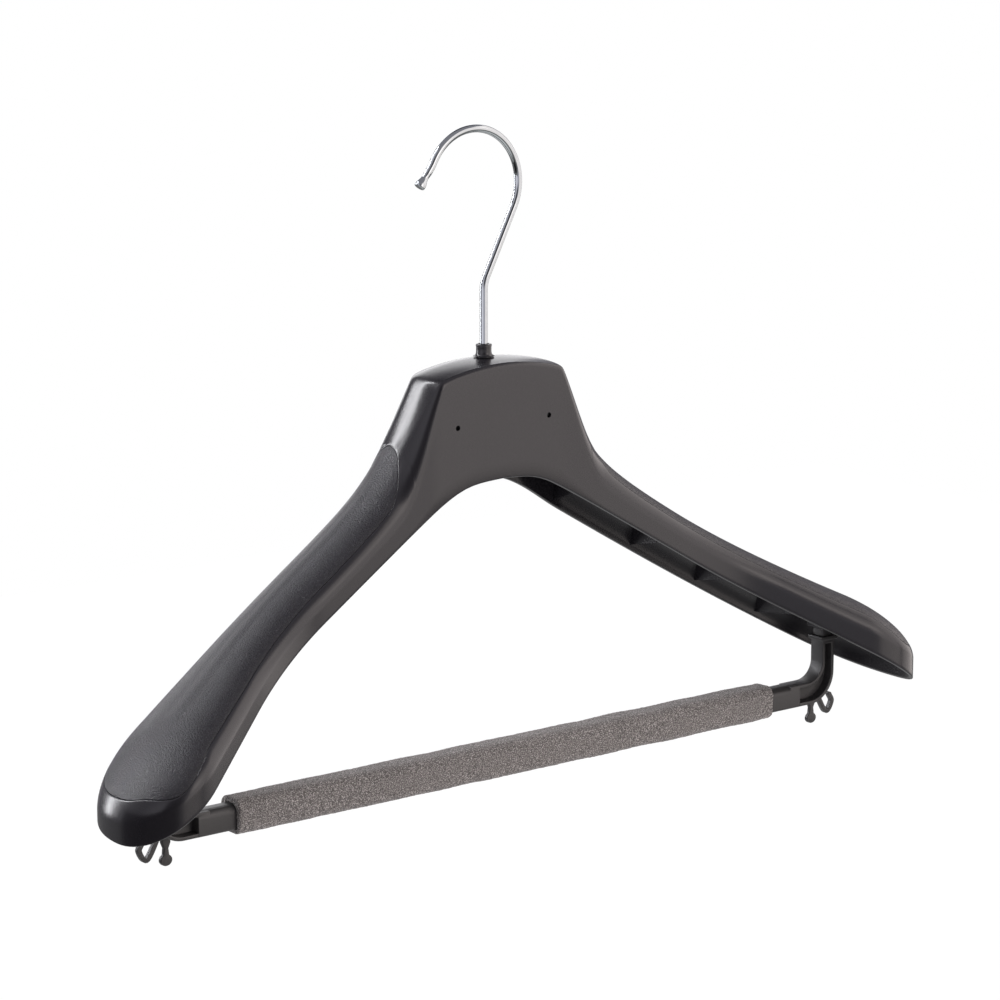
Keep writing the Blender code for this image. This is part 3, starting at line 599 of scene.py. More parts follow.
@dataclass(frozen=True)
class SpeckledFoam:
    """Soft grey foam with pale specks and open pores, whose dark colour is painted shade in the low parts
    of its bump.
    """

    name: str = "foam_grey"
    # Dark colour of the bump's low parts: painted shade in the open pores.
    colour: Point3 = (0.192, 0.182, 0.172)
    pale: Point3 = (0.54, 0.51, 0.48)
    painted_pore_shade: Point3 = (0.095, 0.088, 0.082)
    cell_scale: float = 1500.0
    speck_scale: float = 2100.0
    depth: float = 0.0006
    depth_share: float = 0.9

    def make(self, effects: SharedEffects) -> bpy.types.Material:
        """The finish as a material.

        Args:
            effects: The shared node groups.

        Returns:
            The material.
        """
        bench = MaterialBench(self.name)
        bench.shader.inputs["Specular IOR Level"].default_value = 0.25
        bench.shader.inputs["Sheen Weight"].default_value = 0.15
        bench.shader.inputs["Sheen Roughness"].default_value = 0.6
        grain = bench.group(effects.grain, Scale=self.cell_scale, Softness=0.3)
        specks = bench.add("ShaderNodeTexNoise")
        specks.inputs["Scale"].default_value = self.speck_scale
        specks.inputs["Detail"].default_value = 2.0
        place = bench.add("ShaderNodeTexCoord")
        bench.link(place.outputs["Object"], specks.inputs["Vector"])
        pale_mask = bench.add("ShaderNodeMapRange")
        pale_mask.inputs["From Min"].default_value = 0.47
        pale_mask.inputs["From Max"].default_value = 0.70
        bench.link(specks.outputs["Fac"], pale_mask.inputs["Value"])
        # The low parts of the bump take the dark colour: painted shade in the open pores.
        body = bench.two_tones(grain.outputs["Spots"], self.painted_pore_shade, self.colour)
        speckled = bench.add("ShaderNodeMix")
        speckled.data_type = "RGBA"
        bench.link(pale_mask.outputs["Result"], speckled.inputs["Factor"])
        bench.link(body, speckled.inputs["A"])
        speckled.inputs["B"].default_value = (*self.pale, 1.0)
        bench.link(speckled.outputs["Result"], bench.shader.inputs["Base Color"])
        rough = bench.group(effects.mottle, Scale=300.0, Middle=0.93, Spread=0.08)
        bench.link(rough.outputs["Value"], bench.shader.inputs["Roughness"])
        bench.bump(grain.outputs["Height"], self.depth, self.depth_share)
        return bench.material


SHELL_FINISH = MouldedPlastic(
    name="shell_black", colour=(0.0150, 0.0140, 0.0165), spots=(0.0165, 0.0155, 0.0180),
    roughness=0.24, roughness_spread=0.04, grain_scale=900.0, grain_depth=0.00002, grain_strength=0.25,
)
# The grips' spot colour, far lighter than their base, is painted sparkle on the raised grain as well as
# grain tone.
GRIP_FINISH = MouldedPlastic(
    name="grip_black", colour=(0.0130, 0.0122, 0.0155), spots=(0.036, 0.034, 0.040),
    roughness=0.34, roughness_spread=0.05, grain_scale=1450.0, grain_depth=0.00040, grain_strength=1.0,
)
BUSH_FINISH = MouldedPlastic(
    name="bush_black", colour=(0.016, 0.015, 0.017), spots=(0.019, 0.018, 0.020),
    roughness=0.26, roughness_spread=0.06, grain_scale=1500.0, grain_depth=0.00004, grain_strength=0.4,
)
BAR_FINISH = MouldedPlastic(
    name="bar_black", colour=(0.034, 0.033, 0.0325), spots=(0.039, 0.038, 0.037),
    roughness=0.42, roughness_spread=0.06, grain_scale=1400.0, grain_depth=0.00006, grain_strength=0.5,
)
CHROME_FINISH = PlatedMetal(
    name="bright_chrome", colour=(0.425, 0.450, 0.460), shade=(0.365, 0.388, 0.400),
    roughness=0.06, roughness_spread=0.03, wave_depth=0.00002,
)
STEEL_FINISH = PlatedMetal(
    name="washer_steel", colour=(0.46, 0.46, 0.47), shade=(0.34, 0.34, 0.35),
    roughness=0.34, roughness_spread=0.12, wave_depth=0.00004,
)
FOAM_FINISH = SpeckledFoam()


# Sizes that several pieces share

@dataclass(frozen=True)
class SharedSizes:
    """Sizes that join one piece to the next."""

    neck_top: float = 0.0280
    wall: float = 0.0022
    fit: float = 0.0003
    wire_radius: float = 0.00183
    shaft_clearance: float = 0.0003
    bush_sleeve_wall: float = 0.0012
    boss_bottom: float = 0.002
    boss_radius: float = 0.0065
    washer_thickness: float = 0.0012

    @property
    def bush_bore(self) -> float:
        """Radius of the bore that the stem turns in."""
        return self.wire_radius + self.shaft_clearance

    @property
    def bush_sleeve(self) -> float:
        """Outer radius of the bush's sleeve."""
        return self.bush_bore + self.bush_sleeve_wall


SHARED = SharedSizes()


@dataclass
class ArmRow:
    """One plan line of the body, from the ridge to the outline.

    Attributes:
        ridge: Ridge point in plan.
        edge: Outline point in plan.
        share: Where the grip's border crosses it, as a share of the line; 0 before the grip.
        gripped: Whether the grip lies on it.
        shift: How far the ridge moves along X for each metre that the border is drawn in.
        spread: Share of a margin that counts along the line.
    """

    ridge: Vector
    edge: Vector
    share: float = 0.0
    gripped: bool = False
    shift: float = 0.0
    spread: float = 1.0

    @property
    def back(self) -> float:
        """0 on a line to the front outline, 1 on one to the back, in between round the arm's end."""
        across = self.edge - self.ridge
        return ease(across.y / across.length, -1.0, 1.0)


@dataclass
class ShellForm:
    """The surface of the body, which the shell and the grips share."""

    half_span: float = 0.2265
    neck_underside: float = 0.0257
    crown_radius: float = 0.129
    neck_back: float = 0.0155
    stem_setback: float = 0.015
    arm_slope: float = math.radians(31.5)
    arch_half_width: float = 0.0215
    arch_blend: float = 0.010
    taper_start: float = 0.030
    taper_blend: float = 0.012
    taper: float = math.radians(5.8)
    bend_start: float = 0.105
    bend_blend: float = 0.048
    bend: float = math.radians(26.5)
    back_bulge: float = 0.0225
    back_sweep: float = 0.0304
    back_sweep_power: float = 2.8
    back_flare_start: float = 0.030
    back_flare_end: float = 0.062
    back_edge_drop: float = 0.005
    end_length: float = 0.0365
    end_tip_forward: float = 0.0115
    end_front_handle: float = 0.018
    end_tip_front_handle: float = 0.022
    end_tip_back_handle: float = 0.027
    end_back_handle: float = 0.025
    arm_height: float = 0.0228
    end_extra_height: float = 0.0075
    end_extra_start: float = 0.110
    flank_foot: float = 0.0540
    flank_fall: float = math.radians(63.4)
    flank_foot_blend: float = 0.030
    flank_top_blend: float = 0.002
    neck_front_round: float = 0.005
    neck_front_run: float = 0.011
    neck_back_round: float = 0.0235
    neck_back_run: float = 0.0148
    front_wall_share: float = 0.935
    front_corner_share: float = 0.14
    back_wall_share: float = 0.84
    back_corner_share: float = 0.50
    arm_wall_share: float = 0.36
    arm_back_wall_share: float = 0.12
    arm_corner_share: float = 0.86
    crown_share: float = 0.02
    change_start: float = 0.034
    change_end: float = 0.060
    corner_power: float = 1.95
    slope_step: float = 0.0001
    outline_steps: int = 12
    grip_start: float = 0.0518
    grip_full: float = 0.065
    grip_share: float = 0.85
    grip_end_share: float = 0.92
    grip_corner_share: float = 0.088
    grip_corner_power: float = 0.8

    @property
    def end_start(self) -> float:
        """Where the rounded end starts."""
        return self.half_span - self.end_length

    @staticmethod
    def ramp(distance: float, blend: float) -> float:
        """Zero well before a knee and the distance itself well after it."""
        return (distance + math.sqrt(distance * distance + blend * blend)) / 2

    @staticmethod
    def knee(distance: float, blend: float) -> float:
        """Exactly zero before a knee, then a smooth bend, then straight.

        Args:
            distance: Distance past the knee's start.
            blend: Length of the bend.

        Returns:
            The distance, less half the bend once it is past.
        """
        if distance <= 0.0:
            return 0.0
        if distance < blend:
            return distance * distance / (2 * blend)
        return distance - blend / 2

    def rim_height(self, x: float) -> float:
        """Height of the front lower edge."""
        return -self.neck_underside - math.tan(self.arm_slope) * self.ramp(
            x - self.arch_half_width, self.arch_blend)

    def front_edge(self, x: float) -> float:
        """Y of the front outline.

        Args:
            x: Distance from the stem.

        Returns:
            The Y place.
        """
        taper = math.tan(self.taper) * self.knee(x - self.taper_start, self.taper_blend)
        bend = math.tan(self.bend) * self.knee(x - self.bend_start, self.bend_blend)
        return -self.stem_setback - taper - bend

    def back_edge(self, x: float) -> float:
        """Y of the back outline.

        Args:
            x: Distance from the stem.

        Returns:
            The Y place.
        """
        flare = (self.back_bulge - self.neck_back) * (
            1 - ease(x, self.back_flare_start, self.back_flare_end))
        return self.back_bulge - self.back_sweep * (x / self.half_span) ** self.back_sweep_power - flare

    def edge_drop(self, x: float) -> float:
        """How much lower the back edge lies than the front edge."""
        return self.back_edge_drop * (1 - min(x / self.half_span, 1.0) ** 3)

    def middle(self, x: float) -> float:
        """Y of the ridge, held from where the rounded end starts."""
        x = min(x, self.end_start)
        return (self.front_edge(x) + self.back_edge(x)) / 2

    def top_height(self, x: float, drawn_back: float = 0.0) -> float:
        """Height of the ridge, with the flank moved towards the stem by drawn_back.

        Args:
            x: Distance from the stem.
            drawn_back: How far the flank is moved.

        Returns:
            The height from the badge holes.
        """
        neck = SHARED.neck_top - min(x, self.flank_foot) ** 2 / (2 * self.crown_radius)
        extra = max((x - self.end_extra_start) / (self.half_span - self.end_extra_start), 0.0)
        arm = self.rim_height(x) - self.edge_drop(x) / 2 + self.arm_height
        arm += self.end_extra_height * extra ** 2
        fall = math.tan(self.flank_fall) * (self.flank_foot - x - drawn_back)
        flank = arm + self.ramp(fall, self.flank_foot_blend)
        gap = flank - neck
        return (neck + flank - math.sqrt(gap * gap + self.flank_top_blend ** 2)) / 2

    def ridge_slope(self, x: float) -> float:
        """How far the ridge falls for each step outwards."""
        return (self.top_height(x) - self.top_height(x + self.slope_step)) / self.slope_step

    @staticmethod
    def corner_rounding(reach: float, depth: float, run: float, radius: float) -> float:
        """How far a rounded corner, as long as its run, draws the flank back near the wall."""
        along = max(reach - 1 + run / depth, 0.0) * depth / run
        return radius * (1 - math.sqrt(max(1 - along * along, 0.0)))

    def section_shares(self, x: float, back: float) -> Point2:
        """Shares of the section that are straight wall and rounded corner.

        Args:
            x: Distance from the stem.
            back: 0 on the front half, 1 on the back half.

        Returns:
            The wall's share of the height and the corner's share of the depth.
        """
        change = ease(x, self.change_start, self.change_end)
        wall = self.front_wall_share + (self.back_wall_share - self.front_wall_share) * back
        corner = self.front_corner_share + (self.back_corner_share - self.front_corner_share) * back
        arm_wall = self.arm_wall_share + (self.arm_back_wall_share - self.arm_wall_share) * back
        wall += (arm_wall - wall) * change
        corner += (self.arm_corner_share - corner) * change
        return wall, corner

    def level_at(self, x: float, back: float, reach: float) -> float:
        """Level of the surface, 0 at the lower edge and 1 at the ridge, at a reach from the ridge.

        Args:
            x: Distance from the stem.
            back: 0 on the front half, 1 on the back half.
            reach: 0 at the ridge, 1 at the outline.

        Returns:
            The level.
        """
        wall, corner = self.section_shares(x, back)
        if reach <= 1 - corner:
            return 1 - self.crown_share * (reach / (1 - corner)) ** 2
        inward = (reach - 1 + corner) / corner
        upward = math.sqrt(1 - min(inward ** self.corner_power, 1.0)) ** (2 / self.corner_power)
        return wall + (1 - wall - self.crown_share) * upward

    def surface_point(self, row: ArmRow, reach: float, level: float, inset: float) -> Point3:
        """A point of the outer surface, or of one drawn in by an inset.

        Args:
            row: The plan line it lies on.
            reach: Place along the line, 0 at the ridge and 1 at the outline.
            level: Height share, 0 at the lower edge and 1 at the top.
            inset: How far the surface is drawn in.

        Returns:
            The point, from the badge holes' height.
        """
        depth = (row.edge - row.ridge).length
        x, y = row.ridge.lerp(row.edge, reach * (1 - inset / depth))
        front, rear = self.front_edge(x), self.back_edge(x)
        across = min(max((y - front) / (rear - front), 0.0), 1.0)
        base = self.rim_height(x) - self.edge_drop(x) * across
        run, radius = self.neck_front_run, self.neck_front_round
        if row.edge.y > row.ridge.y:
            run, radius = self.neck_back_run, self.neck_back_round
        slope = self.ridge_slope(min(x, self.end_start))
        top = self.top_height(x, self.corner_rounding(reach, depth, run, radius))
        top -= inset * math.sqrt(1 + slope * slope)
        return x, y, base + (top - base) * level

    def end_outline(self, steps: int) -> list[Vector]:
        """Plan of the arm's rounded end, from the front edge round the tip to the back edge.

        Args:
            steps: Steps on the front half, and again on the back half.

        Returns:
            The points in order.
        """
        front_slope = -math.tan(self.taper) - math.tan(self.bend)
        back_slope = -self.back_sweep_power * self.back_sweep / self.half_span
        back_slope *= (self.end_start / self.half_span) ** (self.back_sweep_power - 1)
        start = (self.end_start, self.front_edge(self.end_start))
        end = (self.end_start, self.back_edge(self.end_start))
        tip = (self.half_span, self.middle(self.end_start) - self.end_tip_forward)
        front = self.bezier((
            start,
            (self.end_start + self.end_front_handle, start[1] + front_slope * self.end_front_handle),
            (self.half_span, tip[1] - self.end_tip_front_handle),
            tip,
        ), steps)
        back = self.bezier((
            tip,
            (self.half_span, tip[1] + self.end_tip_back_handle),
            (self.end_start + self.end_back_handle, end[1] + back_slope * self.end_back_handle),
            end,
        ), steps)
        return front + back[1:]

    @staticmethod
    def bezier(points: tuple[Point2, ...], steps: int) -> list[Vector]:
        """Points on a cubic curve, both ends included.

        Args:
            points: The four control points.
            steps: Number of steps.

        Returns:
            The points in order.
        """
        first, second, third, fourth = (Vector(p) for p in points)
        found = []
        for i in range(steps + 1):
            t = i / steps
            s = 1 - t
            found.append(first * s ** 3 + second * 3 * s * s * t + third * 3 * s * t * t + fourth * t ** 3)
        return found

    def station(self, x: float, back: bool) -> ArmRow:
        """The plain plan line across the body at a distance from the stem."""
        edge = self.back_edge(x) if back else self.front_edge(x)
        return ArmRow(Vector((x, self.middle(x))), Vector((x, edge)))

    def height_over(self, x: float, y: float, inset: float) -> float:
        """Height of the surface over a plan point.

        Args:
            x: Distance from the stem.
            y: Place from front to back.
            inset: How far the surface is drawn in.

        Returns:
            The height.
        """
        if x <= self.end_start:
            row = self.station(x, y >= self.middle(x))
        else:
            centre = Vector((self.end_start, self.middle(self.end_start)))
            far = centre + (Vector((x, y)) - centre).normalized() * self.half_span
            outline = self.end_outline(self.outline_steps)
            hits = [intersect_line_line_2d(centre, far, *pair) for pair in zip(outline, outline[1:])]
            row = ArmRow(centre, next(hit for hit in hits if hit))
        depth = (row.edge - row.ridge).length
        reach = min((Vector((x, y)) - row.ridge).length / (depth - inset), 1.0)
        level = self.level_at(row.ridge.x, row.back, reach)
        return self.surface_point(row, reach, level, inset)[2]


@dataclass(frozen=True)
class BarPlace:
    """Where the trouser bar lies and how its posts reach into the arms."""

    form: ShellForm
    forward: float = 0.0205
    height: float = 0.0114
    depth: float = 0.010
    top_round: float = 0.0036
    bottom_round: float = 0.0012
    post_tip_gap: float = 0.0279
    post_width: float = 0.0076
    post_length: float = 0.0275
    collar_rise: float = 0.0035
    elbow_run: float = 0.015
    elbow_depth: float = 0.0088
    elbow_setback: float = 0.0002
    stub_inset: float = 0.0007
    stub_length: float = 0.011

    @property
    def post_inner_x(self) -> float:
        """Distance of a post's inner face from the stem."""
        return self.form.half_span - self.post_tip_gap - self.post_width

    @property
    def post_x(self) -> float:
        """Distance of a post's middle from the stem."""
        return self.post_inner_x + self.post_width / 2

    @property
    def end(self) -> float:
        """Where the straight bar ends."""
        return self.post_inner_x - self.elbow_run

    @property
    def collar_top(self) -> float:
        """Height of the collars' tops, a little above the arm's front lower edge there."""
        return self.form.rim_height(self.post_x) + self.collar_rise

    @property
    def level(self) -> float:
        """Height of the middle of the bar."""
        return self.collar_top - self.post_length

    @property
    def elbow_front(self) -> float:
        """Y of the front face of the elbows."""
        return -self.forward - self.depth / 2 + self.elbow_setback

    @property
    def post_y(self) -> float:
        """Y of the middle of the elbows and posts."""
        return self.elbow_front + self.elbow_depth / 2

    @property
    def stub_across(self) -> float:
        """Width of the stub on top of a post."""
        return self.post_width - 2 * self.stub_inset

    @property
    def stub_deep(self) -> float:
        """Depth of the stub on top of a post."""
        return self.elbow_depth - 2 * self.stub_inset

    @property
    def stub_top(self) -> float:
        """Height of a stub's top."""
        return self.collar_top + self.stub_length


@dataclass
class ArmLines:
    """Surface lines of one arm, fine enough for close views."""

    form: ShellForm
    flat_stations: int = 6
    corner_stations: int = 34
    tongue_steps: int = 18
    straight_steps: int = 62
    end_steps: int = 24
    corner_columns: int = 20
    wall_columns: int = 7
    floor_columns: int = 24
    fillet_steps: int = 4
    rim_round: float = 0.0007
    pocket_round: float = 0.0003
    grip_thickness: float = 0.0009
    border_gap: float = 0.00008
    neck_flat_end: float = 0.026
    lip_out: float = 0.0011
    lip_height: float = 0.006
    lip_start: float = 0.012
    lip_tip_gap: float = 0.002

    @property
    def pocket_depth(self) -> float:
        """Depth of the grips' pockets."""
        return self.grip_thickness + SHARED.fit

    def plain_rows(self, back: bool) -> list[ArmRow]:
        """Lines of the neck and flank, before the grip.

        Args:
            back: Whether they run to the back outline.

        Returns:
            The lines, from the stem outwards.
        """
        form = self.form
        last = form.grip_start - self.pocket_round
        flat = [self.neck_flat_end * i / self.flat_stations for i in range(self.flat_stations)]
        span = last - self.neck_flat_end
        flank = [self.neck_flat_end + span * i / self.corner_stations for i in range(self.corner_stations)]
        return [form.station(x, back) for x in flat + flank]

    def gripped_rows(self, back: bool) -> list[ArmRow]:
        """Lines that cross the grip between its tongue and the rounded end.

        Args:
            back: Whether they run to the back outline.

        Returns:
            The lines, from the stem outwards.
        """
        form = self.form
        rows = []
        for i in range(self.tongue_steps + 1):
            angle = QUARTER * i / self.tongue_steps
            x = form.grip_full - (form.grip_full - form.grip_start) * math.cos(angle)
            row = form.station(x, back)
            row.share = form.grip_share * math.sin(angle)
            row.spread = math.sin(angle)
            row.shift = math.cos(angle)
            row.gripped = True
            rows.append(row)
        for i in range(1, self.straight_steps + 1):
            x = form.grip_full + (form.end_start - form.grip_full) * i / self.straight_steps
            row = form.station(x, back)
            row.share = form.grip_share
            row.gripped = True
            rows.append(row)
        return rows

    def end_rows(self) -> list[ArmRow]:
        """Lines of the rounded end, from front to back.

        Returns:
            The lines in order.
        """
        form = self.form
        centre = Vector((form.end_start, form.middle(form.end_start)))
        outline = form.end_outline(self.end_steps)
        rows = []
        for i in range(1, len(outline) - 1):
            along = i / (len(outline) - 1)
            widening = math.sin(HALF_TURN * along)
            corner = max(math.sin(FULL_TURN * along ** form.grip_corner_power), 0.0) ** 2
            share = form.grip_share + (form.grip_end_share - form.grip_share) * widening
            share += form.grip_corner_share * corner
            rows.append(ArmRow(centre, outline[i], share, True))
        return rows

    def all_rows(self, with_neck: bool) -> list[ArmRow]:
        """Lines all round one arm, from the front of the neck round the end to its back.

        Args:
            with_neck: Whether the lines before the grip are among them.

        Returns:
            The lines in order.
        """
        front = self.gripped_rows(False)
        back = self.gripped_rows(True)
        if with_neck:
            front = self.plain_rows(False) + front
            back = self.plain_rows(True) + back
        return front + self.end_rows() + back[::-1]

    def moved(self, row: ArmRow, margin: float) -> ArmRow:
        """The line that a point at a margin outside the grip's border lies on.

        Args:
            row: The plan line.
            margin: Distance outside the border.

        Returns:
            The line, moved along X.
        """
        if not row.shift or not margin:
            return row
        x = row.ridge.x - margin * row.shift
        return self.form.station(x, row.edge.y > row.ridge.y)

    def border_reach(self, row: ArmRow, margin: float) -> float:
        """Reach of the grip's border, with a margin outside it."""
        return row.share + row.spread * margin / (row.edge - row.ridge).length

    def curve_point(self, row: ArmRow, reach: float, inset: float) -> Point3:
        """A point of the rounded part of the surface."""
        level = self.form.level_at(row.ridge.x, row.back, reach)
        return self.form.surface_point(row, reach, level, inset)

    def top_line(self, row: ArmRow, margin: float, inset: float, columns: int) -> list[Point3]:
        """Points from the ridge to the grip's border.

        Args:
            row: The plan line.
            margin: Distance outside the border; inside is negative.
            inset: How far the surface is drawn in.
            columns: Steps along the line.

        Returns:
            The points in order.
        """
        line = self.moved(row, margin)
        border = self.border_reach(row, margin)
        shares = [math.sin(QUARTER * j / columns) for j in range(columns + 1)]
        return [self.curve_point(line, border * share, inset) for share in shares]

    def corner_line(self, row: ArmRow, inset: float, from_reach: float) -> list[Point3]:
        """Points from a reach out to the top of the straight wall.

        Args:
            row: The plan line.
            inset: How far the surface is drawn in.
            from_reach: Reach of the first point.

        Returns:
            The points in order.
        """
        wall, corner = self.form.section_shares(row.ridge.x, row.back)
        power = self.form.corner_power
        start = self.turn_of(from_reach, corner, power)
        points = []
        for j in range(self.corner_columns + 1):
            turn = start * (1 - j / self.corner_columns)
            if turn > 1:
                reach = (1 - corner) * (2 - turn)
                points.append(self.curve_point(row, reach, inset))
                continue
            angle = QUARTER * turn
            reach = 1 - corner * (1 - max(math.cos(angle), 0.0) ** (2 / power))
            level = wall + (1 - wall - self.form.crown_share) * math.sin(angle) ** (2 / power)
            points.append(self.form.surface_point(row, reach, level, inset))
        return points

    @staticmethod
    def turn_of(reach: float, corner: float, power: float) -> float:
        """Place of a reach round the section: 0 at the wall, 1 where the corner ends, 2 at the ridge.

        Args:
            reach: 0 at the ridge, 1 at the outline.
            corner: The corner's share of the depth.
            power: How square the corner is, where 2 is round.

        Returns:
            The place.
        """
        if reach <= 1 - corner:
            return 2 - reach / (1 - corner)
        cosine = (1 - (1 - reach) / corner) ** (power / 2)
        return math.acos(min(cosine, 1.0)) / QUARTER

    def lip_share(self, row: ArmRow) -> float:
        """How much of the rim's lip shows on a line: all of it round the tip, none along the arm.

        Args:
            row: The plan line.

        Returns:
            The share, 0 to 1.
        """
        if row.ridge.x < self.form.end_start or not row.gripped:
            return 0.0
        start = self.form.end_start + self.lip_start
        return ease(row.edge.x, start, self.form.half_span - self.lip_tip_gap)

    def rim_line(self, row: ArmRow) -> list[Point3]:
        """Points down the straight wall, round the rim and up the inner wall.

        Args:
            row: The plan line.

        Returns:
            The points in order.
        """
        form, wall = self.form, SHARED.wall
        share, _ = form.section_shares(row.ridge.x, row.back)
        outward = (row.edge - row.ridge).normalized()
        lip = self.lip_out * self.lip_share(row)
        outer_top = form.surface_point(row, 1.0, share, 0.0)[2]
        inner_top = form.surface_point(row, 1.0, share, wall)[2]
        low = Vector(form.surface_point(row, 1.0, 0.0, 0.0))
        inner_low = Vector(form.surface_point(row, 1.0, 0.0, wall))

        def flared(inset: float, height: float) -> Point3:
            """A point of the wall, moved out by the lip.

            Args:
                inset: Distance inwards from the outer face.
                height: Height over the rim.

            Returns:
                The point.
            """
            across = inset / wall
            base = low.lerp(inner_low, across)
            out = lip * (1 - ease(height, 0.0, self.lip_height))
            return (base.x + outward.x * out, base.y + outward.y * out, base.z + height)

        points = []
        for j in range(1, self.wall_columns + 1):
            height = (outer_top - low.z - self.rim_round) * (1 - j / self.wall_columns) + self.rim_round
            points.append(flared(0.0, height))
        for j in range(1, self.fillet_steps + 1):
            angle = QUARTER * j / self.fillet_steps
            inset = self.rim_round * (1 - math.cos(angle))
            points.append(flared(inset, self.rim_round * (1 - math.sin(angle))))
        for j in range(self.fillet_steps + 1):
            angle = QUARTER * (1 - j / self.fillet_steps)
            inset = wall - self.rim_round * (1 - math.cos(angle))
            points.append(flared(inset, self.rim_round * (1 - math.sin(angle))))
        for j in range(1, self.wall_columns):
            height = self.rim_round + (inner_top - inner_low.z - self.rim_round) * j / self.wall_columns
            points.append(flared(wall, height))
        return points

    def pocket_line(self, row: ArmRow) -> list[Point3]:
        """Points from the ridge over the pocket's floor, up its wall and round its edge.

        Args:
            row: The plan line.

        Returns:
            The points in order.
        """
        points = self.top_line(row, 0.0, self.pocket_depth, self.floor_columns)
        for j in range(self.fillet_steps + 1):
            angle = QUARTER * (1 - j / self.fillet_steps)
            margin = self.pocket_round * (1 - math.sin(angle))
            inset = self.pocket_round * (1 - math.cos(angle))
            line = self.moved(row, margin)
            points.append(self.curve_point(line, self.border_reach(row, margin), inset))
        return points

    def shell_line(self, row: ArmRow) -> list[Point3]:
        """Points of one plan line over the whole wall, from the outer ridge round the rim to the inner one.

        Args:
            row: The plan line.

        Returns:
            The points in order.
        """
        line = self.moved(row, self.pocket_round) if row.gripped else row
        border = self.border_reach(row, self.pocket_round) if row.gripped else 0.0
        if row.gripped:
            points = self.pocket_line(row)
        else:
            points = [self.curve_point(row, 0.0, 0.0)] * (self.floor_columns + self.fillet_steps + 2)
        points += self.corner_line(line, 0.0, border)[1:]
        points += self.rim_line(line)
        points += self.corner_line(line, SHARED.wall, 0.0)[::-1]
        return points

    def grip_line(self, row: ArmRow, recess: float, rounding: float) -> list[Point3]:
        """Points of one plan line over a grip, from its top ridge round its border to its underside's.

        Args:
            row: The plan line.
            recess: How far the grip lies below the shell.
            rounding: Radius of its edge.

        Returns:
            The points in order.
        """
        points = self.top_line(row, -self.border_gap - rounding, recess, self.floor_columns)
        for j in range(1, self.fillet_steps + 1):
            angle = QUARTER * j / self.fillet_steps
            margin = -self.border_gap - rounding * (1 - math.sin(angle))
            inset = recess + rounding * (1 - math.cos(angle))
            line = self.moved(row, margin)
            points.append(self.curve_point(line, self.border_reach(row, margin), inset))
        points += self.top_line(row, -self.border_gap, self.grip_thickness, self.floor_columns)[::-1]
        return points


